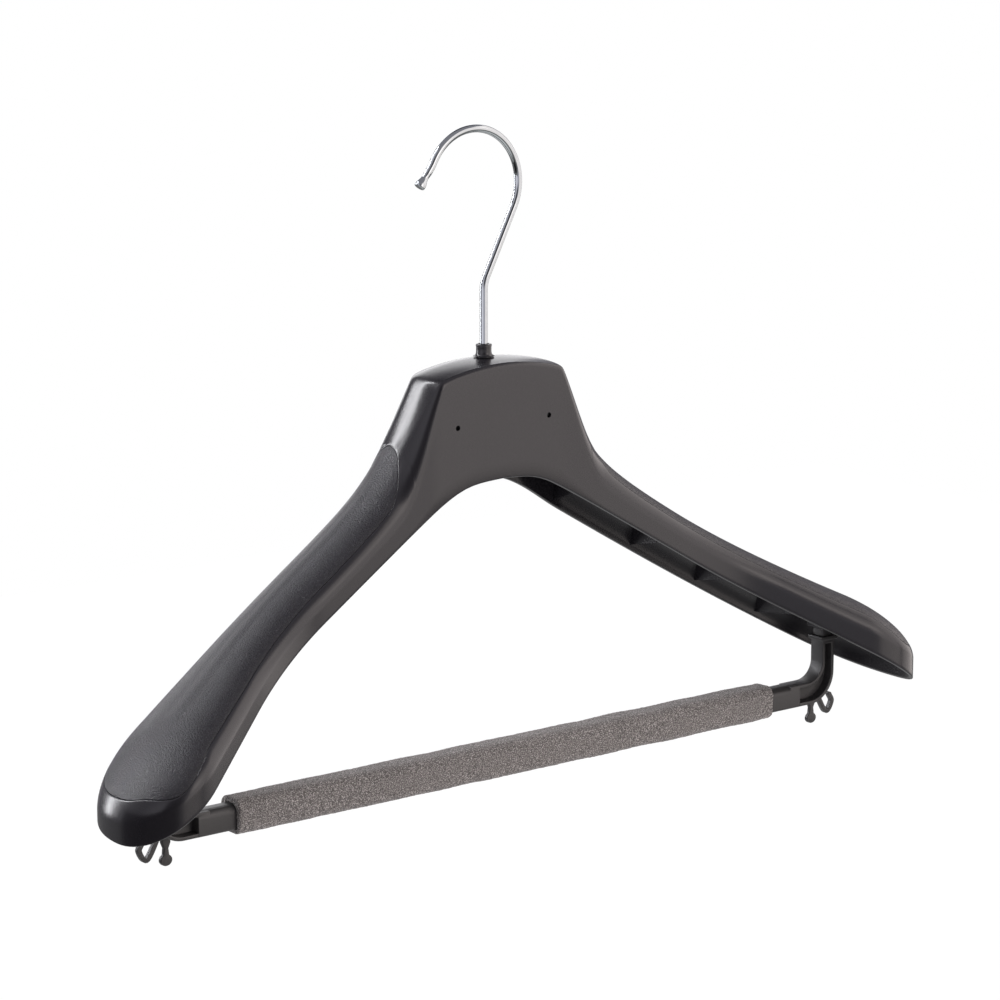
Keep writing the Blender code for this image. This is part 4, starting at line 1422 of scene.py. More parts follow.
@dataclass
class MouldedShell:
    """The body moulding with its pockets, webs, boss, sockets and holes."""

    form: ShellForm
    lines: ArmLines
    place: BarPlace
    badge_hole_x: float = 0.0263
    badge_hole_radius: float = 0.00125
    badge_hole_steps: int = 28
    web_place_shares: tuple[float, ...] = (0.254, 0.456, 0.62, 0.77)
    web_thickness: float = 0.0015
    web_inset: float = 0.0016
    boss_root: float = 0.001
    boss_round: float = 0.0004
    boss_steps: int = 48
    bore_steps: int = 40
    socket_wall: float = 0.0018
    socket_standoff: float = 0.004
    socket_root: float = 0.0012
    overrun: float = 0.004

    def skin(self) -> bpy.types.Object:
        """The closed wall of both arms.

        Returns:
            The closed mesh.
        """
        rows = self.lines.all_rows(True)
        grid = [self.lines.shell_line(row) for row in rows]
        columns = len(grid[0])
        pocket_columns = self.lines.floor_columns + self.lines.fillet_steps + 1
        points: list[Point3] = []
        faces: list[tuple[int, ...]] = []
        for side in Side:
            start = len(points)
            points += [(side.value * x, y, z) for line in grid for x, y, z in line]
            for i in range(len(rows) - 1):
                both = rows[i].gripped and rows[i + 1].gripped
                for j in range(0 if both else pocket_columns, columns - 1):
                    a = start + i * columns + j
                    faces.append((a, a + 1, a + columns + 1, a + columns))
        return mesh_piece("body_shell_skin", points, faces)

    def web(self, side: Side, x: float, name: str) -> bpy.types.Object:
        """A stiffening web across the inside of an arm, above its straight walls.

        Args:
            side: The arm.
            x: Distance from the stem.
            name: The web's name.

        Returns:
            The web.
        """
        front = self.lines.corner_line(self.form.station(x, False), self.web_inset, 0.0)
        back = self.lines.corner_line(self.form.station(x, True), self.web_inset, 0.0)
        outline = [(y, z) for _, y, z in front[::-1] + back[1:]]
        middle = side.value * x
        half = self.web_thickness / 2
        return prism(name, outline, middle - half, middle + half, Axis.X)

    def socket(self, side: Side) -> tuple[bpy.types.Object, bpy.types.Object]:
        """The sleeve for a post's stub, and the bore in it.

        Args:
            side: The arm.

        Returns:
            The sleeve and the bore.
        """
        fit, place = SHARED.fit, self.place
        x, y = place.post_x, place.post_y
        half_x, half_y = place.stub_across / 2 + fit, place.stub_deep / 2 + fit
        across, deep = half_x + self.socket_wall, half_y + self.socket_wall
        low = place.collar_top + self.socket_standoff
        points: list[Point3] = []
        for height in (0, 1):
            for dx, dy in ((-across, -deep), (across, -deep), (across, deep), (-across, deep)):
                over = self.form.height_over(x + dx, y + dy, SHARED.wall - self.socket_root)
                points.append((side.value * (x + dx), y + dy, over if height else low))
        faces = grid_faces(2, 4, closed=True) + [(0, 1, 2, 3), (4, 5, 6, 7)]
        sleeve = mesh_piece("post_socket_" + side.word, points, faces)
        bore = block(
            "post_bore_" + side.word,
            (side.value * x - half_x, y - half_y, low - self.overrun),
            (side.value * x + half_x, y + half_y, place.stub_top + fit),
        )
        return sleeve, bore

    @staticmethod
    def rod(name: str, radius: float, low: Point3, high: Point3, steps: int) -> bpy.types.Object:
        """A round rod between two points on a line along Y or Z.

        Args:
            name: The rod's name.
            radius: Its radius.
            low: Middle of one end.
            high: Middle of the other.
            steps: Steps round it.

        Returns:
            The rod.
        """
        along_z = abs(high[2] - low[2]) > abs(high[1] - low[1])
        ring = arc((0.0, 0.0), radius, 0.0, FULL_TURN * (steps - 1) / steps, steps - 1)
        points: list[Point3] = []
        for x, y, z in (low, high):
            points += [(x + a, y + b, z) if along_z else (x + a, y, z + b) for a, b in ring]
        faces = grid_faces(2, steps, closed=True)
        faces += [tuple(range(steps)), tuple(range(steps, 2 * steps))]
        return mesh_piece(name, points, faces)

    def build(self) -> bpy.types.Object:
        """The whole moulding.

        Returns:
            The shell, in the row frame.
        """
        shell = self.skin()
        boss_top = SHARED.neck_top - SHARED.wall + self.boss_root
        boss = self.rod(
            "stem_boss", SHARED.boss_radius, (0.0, 0.0, SHARED.boss_bottom), (0.0, 0.0, boss_top),
            self.boss_steps)
        round_edges(boss, self.boss_round)
        combine(shell, boss, Change.JOIN)
        bores = []
        for side in Side:
            for i, share in enumerate(self.web_place_shares):
                web = self.web(side, self.form.half_span * share, "web_%s_%d" % (side.word, i + 1))
                combine(shell, web, Change.JOIN)
            sleeve, bore = self.socket(side)
            combine(shell, sleeve, Change.JOIN)
            bores.append(bore)
            x = side.value * self.badge_hole_x
            front = -self.form.stem_setback
            bores.append(self.rod(
                "badge_hole_" + side.word, self.badge_hole_radius, (x, front - self.overrun, 0.0),
                (x, front + SHARED.wall + self.overrun / 2, 0.0), self.badge_hole_steps))
        bores.append(self.rod(
            "stem_bore", SHARED.bush_sleeve + SHARED.fit, (0.0, 0.0, SHARED.boss_bottom - self.overrun),
            (0.0, 0.0, SHARED.neck_top + self.overrun), self.bore_steps))
        for bore in bores:
            combine(shell, bore, Change.CUT)
        shade(shell)
        return shell

    def dress(self, material: bpy.types.Material) -> None:
        """Build the shell and give it its finish and its place."""
        finish_piece(self.build(), material, Body.HANGER, "body_shell")


@dataclass
class ShoulderGrip:
    """A grained grip that lies in its pocket a little below the shell's surface."""

    side: Side
    lines: ArmLines
    recess: float = 0.00012
    rounding: float = 0.00015

    def build(self) -> bpy.types.Object:
        """The grip as a closed skin.

        Returns:
            The grip.
        """
        rows = self.lines.all_rows(False)
        grid = [self.lines.grip_line(row, self.recess, self.rounding) for row in rows]
        points = [(self.side.value * x, y, z) for line in grid for x, y, z in line]
        faces = grid_faces(len(rows), len(grid[0]))
        grip = mesh_piece(self.side.word + "_grip_skin", points, faces)
        shade(grip)
        return grip

    def dress(self, material: bpy.types.Material) -> None:
        """Build the grip and give it its finish and its place."""
        finish_piece(self.build(), material, Body.HANGER, self.side.word + "_shoulder_grip")


@dataclass
class WireHook:
    """The plated wire hook with its swollen tip and headed foot."""

    arc_radius: float = 0.0256
    arc_offset: float = 0.0058
    arc_height: float = 0.1071
    lean: float = math.radians(63.0)
    arc_end: float = math.radians(152.0)
    tip_lean: float = math.radians(51.0)
    tip_length: float = 0.011
    tip_blend: float = 0.005
    bulb_length: float = 0.0052
    bulb_share: float = 1.38
    bulb_growth_share: float = 0.72
    waist_share: float = 0.90
    waist_end_share: float = 0.35
    end_round: float = 0.0006
    bend_radius: float = 0.014
    bend_lead: float = 0.004
    stem_heights: tuple[float, ...] = (0.010, 0.020, 0.030, 0.040)
    head_share: float = 1.75
    head_height: float = 0.0018
    head_round: float = 0.0004
    sides: int = 28
    arc_steps: int = 96
    bend_steps: int = 18
    lean_steps: int = 8
    tip_steps: int = 14
    blend_steps: int = 4
    end_steps: int = 4

    @property
    def lift(self) -> float:
        """Height of the rail seat above the badge holes."""
        inner = self.arc_radius - SHARED.wire_radius
        return self.arc_height + math.sqrt(inner ** 2 - self.arc_offset ** 2)

    def route(self) -> list[tuple[float, float, float]]:
        """Centreline (x, z) from foot to tip, with the wire's radius at each point.

        Returns:
            Place and radius of each point.
        """
        wire = SHARED.wire_radius
        centre = (-self.arc_offset, self.arc_height)
        arc_start = self.lean - QUARTER
        lean_x = centre[0] + self.arc_radius * math.cos(arc_start)
        lean_z = centre[1] + self.arc_radius * math.sin(arc_start)
        bend_z = lean_z - lean_x * math.tan(self.lean)
        turn = QUARTER - self.lean
        set_back = self.bend_radius * math.tan(turn / 2)
        head_top = SHARED.boss_bottom - SHARED.washer_thickness - 2 * SHARED.fit
        head_low = head_top - self.head_height
        head = wire * self.head_share
        found = [
            (0.0, head_low, head - self.head_round),
            (0.0, head_low + self.head_round / 3, head - self.head_round / 3),
            (0.0, head_low + self.head_round, head),
            (0.0, head_top - self.head_round, head),
            (0.0, head_top, head - self.head_round),
            (0.0, head_top + self.head_round / 4, wire),
        ]
        found += [(0.0, z, wire) for z in (*self.stem_heights, bend_z - set_back - self.bend_lead)]
        bend = arc((self.bend_radius, bend_z - set_back), self.bend_radius, HALF_TURN, HALF_TURN - turn,
                   self.bend_steps)
        found += [(x, z, wire) for x, z in bend]
        first = Vector(bend[-1])
        last = Vector((lean_x, lean_z))
        found += [(*first.lerp(last, i / self.lean_steps), wire) for i in range(1, self.lean_steps)]
        loop = arc(centre, self.arc_radius, arc_start, self.arc_end, self.arc_steps)
        found += [(x, z, wire) for x, z in loop]
        found += self.tip(Vector(loop[-1]))
        return found

    def tip(self, start: Vector) -> list[tuple[float, float, float]]:
        """The outward turned tip, its waist and its flat-ended bulb.

        Args:
            start: Where the arc ends.

        Returns:
            Place and radius of each point.
        """
        wire = SHARED.wire_radius
        along = Vector((-math.sin(self.arc_end), math.cos(self.arc_end)))
        out = Vector((-math.cos(self.tip_lean), -math.sin(self.tip_lean)))
        knee = start + along * self.tip_blend / 2
        end = knee + out * self.tip_length
        found = []
        for i in range(1, self.blend_steps + 1):
            t = i / self.blend_steps
            place = start.lerp(knee, t).lerp(knee.lerp(knee + out * self.tip_blend / 2, t), t)
            found.append((*place, wire))
        bend_end = knee + out * self.tip_blend / 2
        span = (end - bend_end).length
        for i in range(1, self.tip_steps + 1):
            share = i / self.tip_steps
            left = span * (1 - share)
            waist = 1 - (1 - self.waist_share) * ease(share, 0.0, self.waist_end_share)
            grown = ease(self.bulb_length - left, 0.0, self.bulb_length * self.bulb_growth_share)
            radius = wire * (waist + (self.bulb_share - waist) * grown)
            found.append((*bend_end.lerp(end, share), radius))
        bulb = wire * self.bulb_share
        x, z, _ = found[-1]
        found[-1] = (x - out.x * self.end_round, z - out.y * self.end_round, bulb)
        for i in range(1, self.end_steps + 1):
            angle = QUARTER * i / self.end_steps
            forward = self.end_round * (math.sin(angle) - 1)
            radius = bulb - self.end_round * (1 - math.cos(angle))
            found.append((x + out.x * forward, z + out.y * forward, radius))
        return found

    def build(self) -> bpy.types.Object:
        """The hook as one closed tube.

        Returns:
            The hook.
        """
        route = self.route()
        points: list[Point3] = []
        for i, (x, z, radius) in enumerate(route):
            before, after = route[max(i - 1, 0)], route[min(i + 1, len(route) - 1)]
            along = Vector((after[0] - before[0], after[1] - before[1])).normalized()
            normal = Vector((-along.y, along.x))
            for k in range(self.sides):
                angle = FULL_TURN * k / self.sides
                out = radius * math.cos(angle)
                points.append((x + normal.x * out, radius * math.sin(angle), z + normal.y * out))
        faces = grid_faces(len(route), self.sides, closed=True)
        last = (len(route) - 1) * self.sides
        faces += [tuple(range(self.sides)), tuple(range(last, last + self.sides))]
        hook = mesh_piece("wire_hook", points, faces)
        shade(hook)
        return hook

    def dress(self, material: bpy.types.Material) -> None:
        """Build the hook and give it its finish and its place."""
        finish_piece(self.build(), material, Body.HOOK, "hook")


@dataclass
class StemBush:
    """The flared collar round the stem, with the sleeve that lines the boss."""

    top: float = 0.0340
    top_radius: float = 0.0037
    waist_radius: float = 0.00352
    flare_radius: float = 0.0049
    flare_height: float = 0.0024
    edge: float = 0.0006
    mouth: float = 0.0005
    sleeve_length: float = 0.012
    edge_steps: int = 6
    flare_steps: int = 6
    steps: int = 64

    def build(self) -> bpy.types.Object:
        """The bush as a turned solid.

        Returns:
            The bush.
        """
        seat = SHARED.neck_top + SHARED.fit
        bore, sleeve = SHARED.bush_bore, SHARED.bush_sleeve
        waist_z = seat + self.flare_height
        profile = [(bore, self.top - self.mouth), (bore + self.mouth, self.top)]
        profile += arc(
            (self.top_radius - self.edge, self.top - self.edge), self.edge, QUARTER, 0.0, self.edge_steps)
        profile.append((self.waist_radius, (self.top + waist_z) / 2))
        reach = self.flare_radius - self.edge / 2 - self.waist_radius
        fall = self.flare_height - self.edge / 2
        for i in range(self.flare_steps + 1):
            angle = QUARTER * i / self.flare_steps
            radius = self.waist_radius + reach * (1 - math.cos(angle))
            profile.append((radius, waist_z - fall * math.sin(angle)))
        profile += [
            (self.flare_radius, seat + self.edge / 3), (self.flare_radius, seat), (sleeve, seat),
            (sleeve, SHARED.neck_top - self.sleeve_length), (bore, SHARED.neck_top - self.sleeve_length),
        ]
        bush = turned("stem_bush", profile, self.steps)
        shade(bush)
        return bush

    def dress(self, material: bpy.types.Material) -> None:
        """Build the bush and give it its finish and its place."""
        finish_piece(self.build(), material, Body.HANGER, "hook_bush")


@dataclass
class RetainerWasher:
    """The pressed washer on the stem, under the boss."""

    radius: float = 0.0055
    edge: float = 0.0003
    edge_steps: int = 4
    steps: int = 48

    def build(self) -> bpy.types.Object:
        """The washer as a turned solid with rounded outer edges.

        Returns:
            The washer.
        """
        top = SHARED.boss_bottom - SHARED.fit
        low = top - SHARED.washer_thickness
        bore = SHARED.bush_bore
        profile = [(bore, top)]
        inner = self.radius - self.edge
        profile += arc((inner, top - self.edge), self.edge, QUARTER, 0.0, self.edge_steps)
        profile += arc((inner, low + self.edge), self.edge, 0.0, -QUARTER, self.edge_steps)
        profile.append((bore, low))
        washer = turned("retainer_washer", profile, self.steps)
        shade(washer)
        return washer

    def dress(self, material: bpy.types.Material) -> None:
        """Build the washer and give it its finish and its place."""
        finish_piece(self.build(), material, Body.HOOK, "hook_washer")


@dataclass
class TrouserBar:
    """The bar with its flanged elbows, posts and skirt hooks."""

    place: BarPlace
    inner_round: float = 0.0095
    outer_round: float = 0.015
    overlap: float = 0.006
    flange: float = 0.0018
    recess: float = 0.005
    collar_thickness: float = 0.0020
    collar_proud: float = 0.0014
    skirt_thickness: float = 0.0022
    skirt_setback: float = 0.0003
    foot_inward: float = 0.0017
    foot_root_width: float = 0.0044
    foot_root_drop: float = 0.0066
    foot_waist_width: float = 0.0022
    foot_waist_drop: float = 0.0092
    foot_width: float = 0.0060
    foot_height: float = 0.0052
    foot_drop: float = 0.0145
    foot_half_opening: float = math.radians(30.0)
    loop_width: float = 0.0022
    loop_root: Point2 = (0.0005, 0.0)
    loop_low: Point2 = (0.0078, 0.0124)
    loop_out: Point2 = (0.0119, 0.0082)
    loop_tip: Point2 = (0.0102, 0.0042)
    edge: float = 0.0004
    corner_steps: int = 10
    toe_steps: int = 24
    overrun: float = 0.002

    def elbow_outline(self, inset: float) -> list[Point2]:
        """Outline of the elbow and post in (x, z), drawn in by an inset; the post ends in the collar.

        Args:
            inset: How far it is drawn in.

        Returns:
            The closed outline.
        """
        place = self.place
        half = place.height / 2 - place.elbow_setback - inset
        top, low = place.level + half, place.level - half
        start = place.end + place.elbow_setback if inset > 0.0 else place.end - self.overlap
        inner, outer = place.post_inner_x + inset, place.post_inner_x + place.post_width - inset
        high = place.collar_top - self.collar_thickness / 2
        if inset > 0.0:
            high = place.collar_top - self.collar_thickness - inset
        inner_round, outer_round = self.inner_round + inset, self.outer_round - inset
        steps = 2 * self.corner_steps
        outline = [(start, low)]
        outline += arc((outer - outer_round, low + outer_round), outer_round, -QUARTER, 0.0, steps)
        outline += [(outer, high), (inner, high)]
        outline += arc((inner - inner_round, top + inner_round), inner_round, 0.0, -QUARTER, steps)
        outline += [(start, top)]
        return outline

    def foot_outline(self) -> list[Point2]:
        """The foot that hangs under an elbow, in (x, z).

        Returns:
            The closed outline.
        """
        level = self.place.level
        middle = self.place.post_inner_x - self.foot_inward
        left = [
            (middle - self.foot_root_width / 2, level),
            (middle - self.foot_root_width / 2, level - self.foot_root_drop),
            (middle - self.foot_waist_width / 2, level - self.foot_waist_drop),
        ]
        start = QUARTER + self.foot_half_opening
        sweep = FULL_TURN - 2 * self.foot_half_opening
        toe = []
        for i in range(self.toe_steps + 1):
            angle = start + sweep * i / self.toe_steps
            toe.append((middle + self.foot_width / 2 * math.cos(angle),
                        level - self.foot_drop + self.foot_height / 2 * math.sin(angle)))
        return left + toe + [(2 * middle - x, z) for x, z in reversed(left)]

    def loop_outline(self) -> list[Point2]:
        """The loop beside the foot, as a line of even width with a round tip, in (x, z).

        Returns:
            The closed outline.
        """
        inner, level = self.place.post_inner_x, self.place.level
        chosen = (self.loop_root, self.loop_low, self.loop_out, self.loop_tip)
        line = smooth_line([Vector((inner + out, level - fall)) for out, fall in chosen], self.corner_steps)
        half = self.loop_width / 2
        left, right = [], []
        for i, point in enumerate(line):
            along = (line[min(i + 1, len(line) - 1)] - line[max(i - 1, 0)]).normalized()
            across = Vector((-along.y, along.x)) * half
            left.append(tuple(point + across))
            right.append(tuple(point - across))
        along = (line[-1] - line[-2]).normalized()
        facing = math.atan2(along.y, along.x)
        cap = arc(tuple(line[-1]), half, facing + QUARTER, facing - QUARTER, self.corner_steps)
        return left[:-1] + cap + right[:-1][::-1]

    @staticmethod
    def plate(name: str, side: Side, outline: list[Point2], low: float, high: float) -> bpy.types.Object:
        """A plate at one end of the bar, between two Y places."""
        return prism(name, [(side.value * x, z) for x, z in outline], low, high, Axis.Y)

    def elbow(self, side: Side) -> bpy.types.Object:
        """One elbow with its post, collar, stub and skirt hook.

        Args:
            side: The end of the bar.

        Returns:
            The elbow, as one closed mesh.
        """
        place = self.place
        front = place.elbow_front
        back = front + place.elbow_depth
        elbow = self.plate("elbow_" + side.word, side, self.elbow_outline(0.0), front, back)
        collar_low = place.collar_top - self.collar_thickness
        across = place.post_width / 2 + self.collar_proud
        deep = (place.elbow_depth + self.collar_proud) / 2
        x, y = side.value * place.post_x, place.post_y
        collar = block(
            "collar_" + side.word, (x - across, y - deep, collar_low),
            (x + across, y + deep, place.collar_top))
        round_edges(collar, self.edge)
        stub = block(
            "stub_" + side.word,
            (x - place.stub_across / 2, y - place.stub_deep / 2, collar_low + self.edge),
            (x + place.stub_across / 2, y + place.stub_deep / 2, place.stub_top))
        round_edges(stub, self.edge)
        recess = self.plate(
            "recess_" + side.word, side, self.elbow_outline(self.flange),
            front - self.overrun, front + self.recess)
        combine(elbow, recess, Change.CUT)
        round_edges(elbow, self.edge)
        combine(elbow, collar, Change.JOIN)
        combine(elbow, stub, Change.JOIN)
        skirt = front + self.recess + self.skirt_setback
        for name, outline in (("foot", self.foot_outline()), ("loop", self.loop_outline())):
            hanging = self.plate(
                "%s_%s" % (name, side.word), side, outline, skirt, skirt + self.skirt_thickness)
            round_edges(hanging, self.edge)
            combine(elbow, hanging, Change.JOIN)
        return elbow

    def build(self) -> bpy.types.Object:
        """The whole bar.

        Returns:
            The bar.
        """
        place = self.place
        section = rounded_box(
            place.depth, place.height, place.top_round, place.bottom_round, self.corner_steps)
        outline = [(y - place.forward, z + place.level) for y, z in section]
        bar = prism("bar_moulding", outline, -place.end, place.end, Axis.X)
        for side in Side:
            combine(bar, self.elbow(side), Change.JOIN)
        shade(bar)
        return bar

    def dress(self, material: bpy.types.Material) -> None:
        """Build the bar and give it its finish and its place."""
        finish_piece(self.build(), material, Body.HANGER, "trouser_bar")


def smooth_line(places: list[Vector], steps: int) -> list[Vector]:
    """A smooth line through chosen points.

    Args:
        places: The chosen points, in order.
        steps: Steps between one and the next.

    Returns:
        The line's points, ends included.
    """
    padded = [places[0] * 2 - places[1]] + places + [places[-1] * 2 - places[-2]]
    found = []
    for i in range(1, len(padded) - 2):
        a, b, c, d = padded[i - 1:i + 3]
        for k in range(steps):
            t = k / steps
            found.append((b * 2 + (c - a) * t + (a * 2 - b * 5 + c * 4 - d) * t * t
                          + (b * 3 - a - c * 3 + d) * t ** 3) / 2)
    found.append(padded[-2])
    return found


@dataclass
class FoamSleeve:
    """The foam sleeve round the bar, with its uneven skin."""

    place: BarPlace
    end_gap: float = 0.0195
    height: float = 0.0163
    depth: float = 0.015
    rounding: float = 0.0045
    end_round: float = 0.0009
    stations: int = 520
    corner_steps: int = 9
    side_steps: int = 12
    end_steps: int = 4
    ripple: float = 0.00016
    lump: float = 0.00040
    ragged: float = 0.00050
    ripple_scale: float = 700.0
    lump_scale: float = 55.0
    crisp_angle: float = math.radians(60.0)

    def ring(self, width: float, height: float, top: float, bottom: float) -> list[Point2]:
        """A section about the bar's middle, with points along its flat sides too.

        Args:
            width: Size from front to back.
            height: Size up.
            top: Radius of the upper corners.
            bottom: Radius of the lower corners.

        Returns:
            The ring's points.
        """
        outline = rounded_box(width, height, top, bottom, self.corner_steps)
        ring: list[Point2] = []
        for i, here in enumerate(outline):
            ring.append(here)
            following = Vector(outline[(i + 1) % len(outline)])
            if (i + 1) % (self.corner_steps + 1) == 0:
                ring += [tuple(Vector(here).lerp(following, k / self.side_steps))
                         for k in range(1, self.side_steps)]
        return ring

    def outer_ring(self, x: float, inset: float) -> list[Point3]:
        """The skin's points at a place along the bar, moved by small ripples, lumps and ragged ends.

        Args:
            x: Place along the bar.
            inset: How far the ring is drawn in.

        Returns:
            The ring's points.
        """
        rounding = self.rounding - inset
        ring = self.ring(self.depth - 2 * inset, self.height - 2 * inset, rounding, rounding)
        points = []
        for y, z in ring:
            spot = Vector((x, y - self.place.forward, z + self.place.level))
            amount = self.ripple * noise.noise(spot * self.ripple_scale)
            amount += self.lump * noise.noise(spot * self.lump_scale)
            spot += Vector((0.0, y, z)).normalized() * amount
            frayed = self.ragged * inset / self.end_round
            spot.x += frayed * noise.noise(spot * self.ripple_scale)
            points.append(tuple(spot))
        return points

    def build(self) -> bpy.types.Object:
        """The sleeve as a closed tube with rounded ends.

        Returns:
            The sleeve.
        """
        place, fit = self.place, SHARED.fit
        half = place.end - self.end_gap
        straight = half - self.end_round
        ends = []
        for i in range(self.end_steps, -1, -1):
            angle = QUARTER * i / self.end_steps
            inset = self.end_round * (1 - math.cos(angle))
            ends.append((half - self.end_round * (1 - math.sin(angle)), inset))
        middle = [(-straight + 2 * straight * i / self.stations, 0.0) for i in range(1, self.stations)]
        stations = [(-x, inset) for x, inset in ends] + middle + ends[::-1]
        rows = [self.outer_ring(x, inset) for x, inset in stations]
        bore = self.ring(
            place.depth + 2 * fit, place.height + 2 * fit, place.top_round + fit, place.bottom_round + fit)
        for x in (half, -half):
            rows.append([(x, y - place.forward, z + place.level) for y, z in bore])
        count = len(bore)
        points = [point for row in rows for point in row]
        faces = grid_faces(len(rows), count, closed=True)
        last = (len(rows) - 1) * count
        faces += [(last + j, last + (j + 1) % count, (j + 1) % count, j) for j in range(count)]
        foam = mesh_piece("foam_cover", points, faces)
        shade(foam, self.crisp_angle)
        return foam

    def dress(self, material: bpy.types.Material) -> None:
        """Build the sleeve and give it its finish and its place.

        Args:
            material: Its finish.
        """
        foam = self.build()
        finish_piece(foam, material, Body.HANGER, "foam_sleeve")


# Studio

def heading(azimuth: float, elevation: float) -> Vector:
    """The direction at an azimuth, counted from +Y towards +X, and an elevation."""
    flat = math.cos(elevation)
    return Vector((math.sin(azimuth) * flat, math.cos(azimuth) * flat, math.sin(elevation)))


@dataclass(frozen=True)
class Softbox:
    """A studio lamp that shines at the hanger.

    Attributes:
        name: The lamp's name.
        azimuth: Where it stands, from behind the hanger towards the right, in degrees.
        elevation: How high it stands, in degrees.
        distance: How far away it stands.
        width: Size across.
        height: Size up.
        radiance: Brightness of its face, where 1 is a white surface in full light.
        colour: Tint of its light.
    """

    name: str
    azimuth: float
    elevation: float
    distance: float
    width: float
    height: float
    radiance: float
    colour: Point3 = (1.0, 1.0, 1.0)

    def place(self, target: Vector) -> None:
        """Stand the lamp in its place, facing a target.

        Args:
            target: The point that it faces.
        """
        data = bpy.data.lights.new(self.name, "AREA")
        data.shape = "RECTANGLE"
        data.size = self.width
        data.size_y = self.height
        data.color = self.colour
        data.energy = self.radiance * self.width * self.height * math.pi
        lamp = bpy.data.objects.new(self.name, data)
        outward = heading(math.radians(self.azimuth), math.radians(self.elevation))
        lamp.location = target + outward * self.distance
        lamp.rotation_euler = outward.to_track_quat("Z", "Y").to_euler()
        bpy.context.scene.collection.objects.link(lamp)


@dataclass(frozen=True)
class Glow:
    """A soft patch of the studio's walls that glossy surfaces mirror.

    Attributes:
        azimuth: Its middle, from behind the hanger towards the right, in degrees.
        elevation: Its height, in degrees.
        inner: Angle from its middle within which it has its full level, in degrees.
        outer: Angle at which it has faded out.
        level: Its brightness.
    """

    azimuth: float
    elevation: float
    inner: float
    outer: float
    level: float


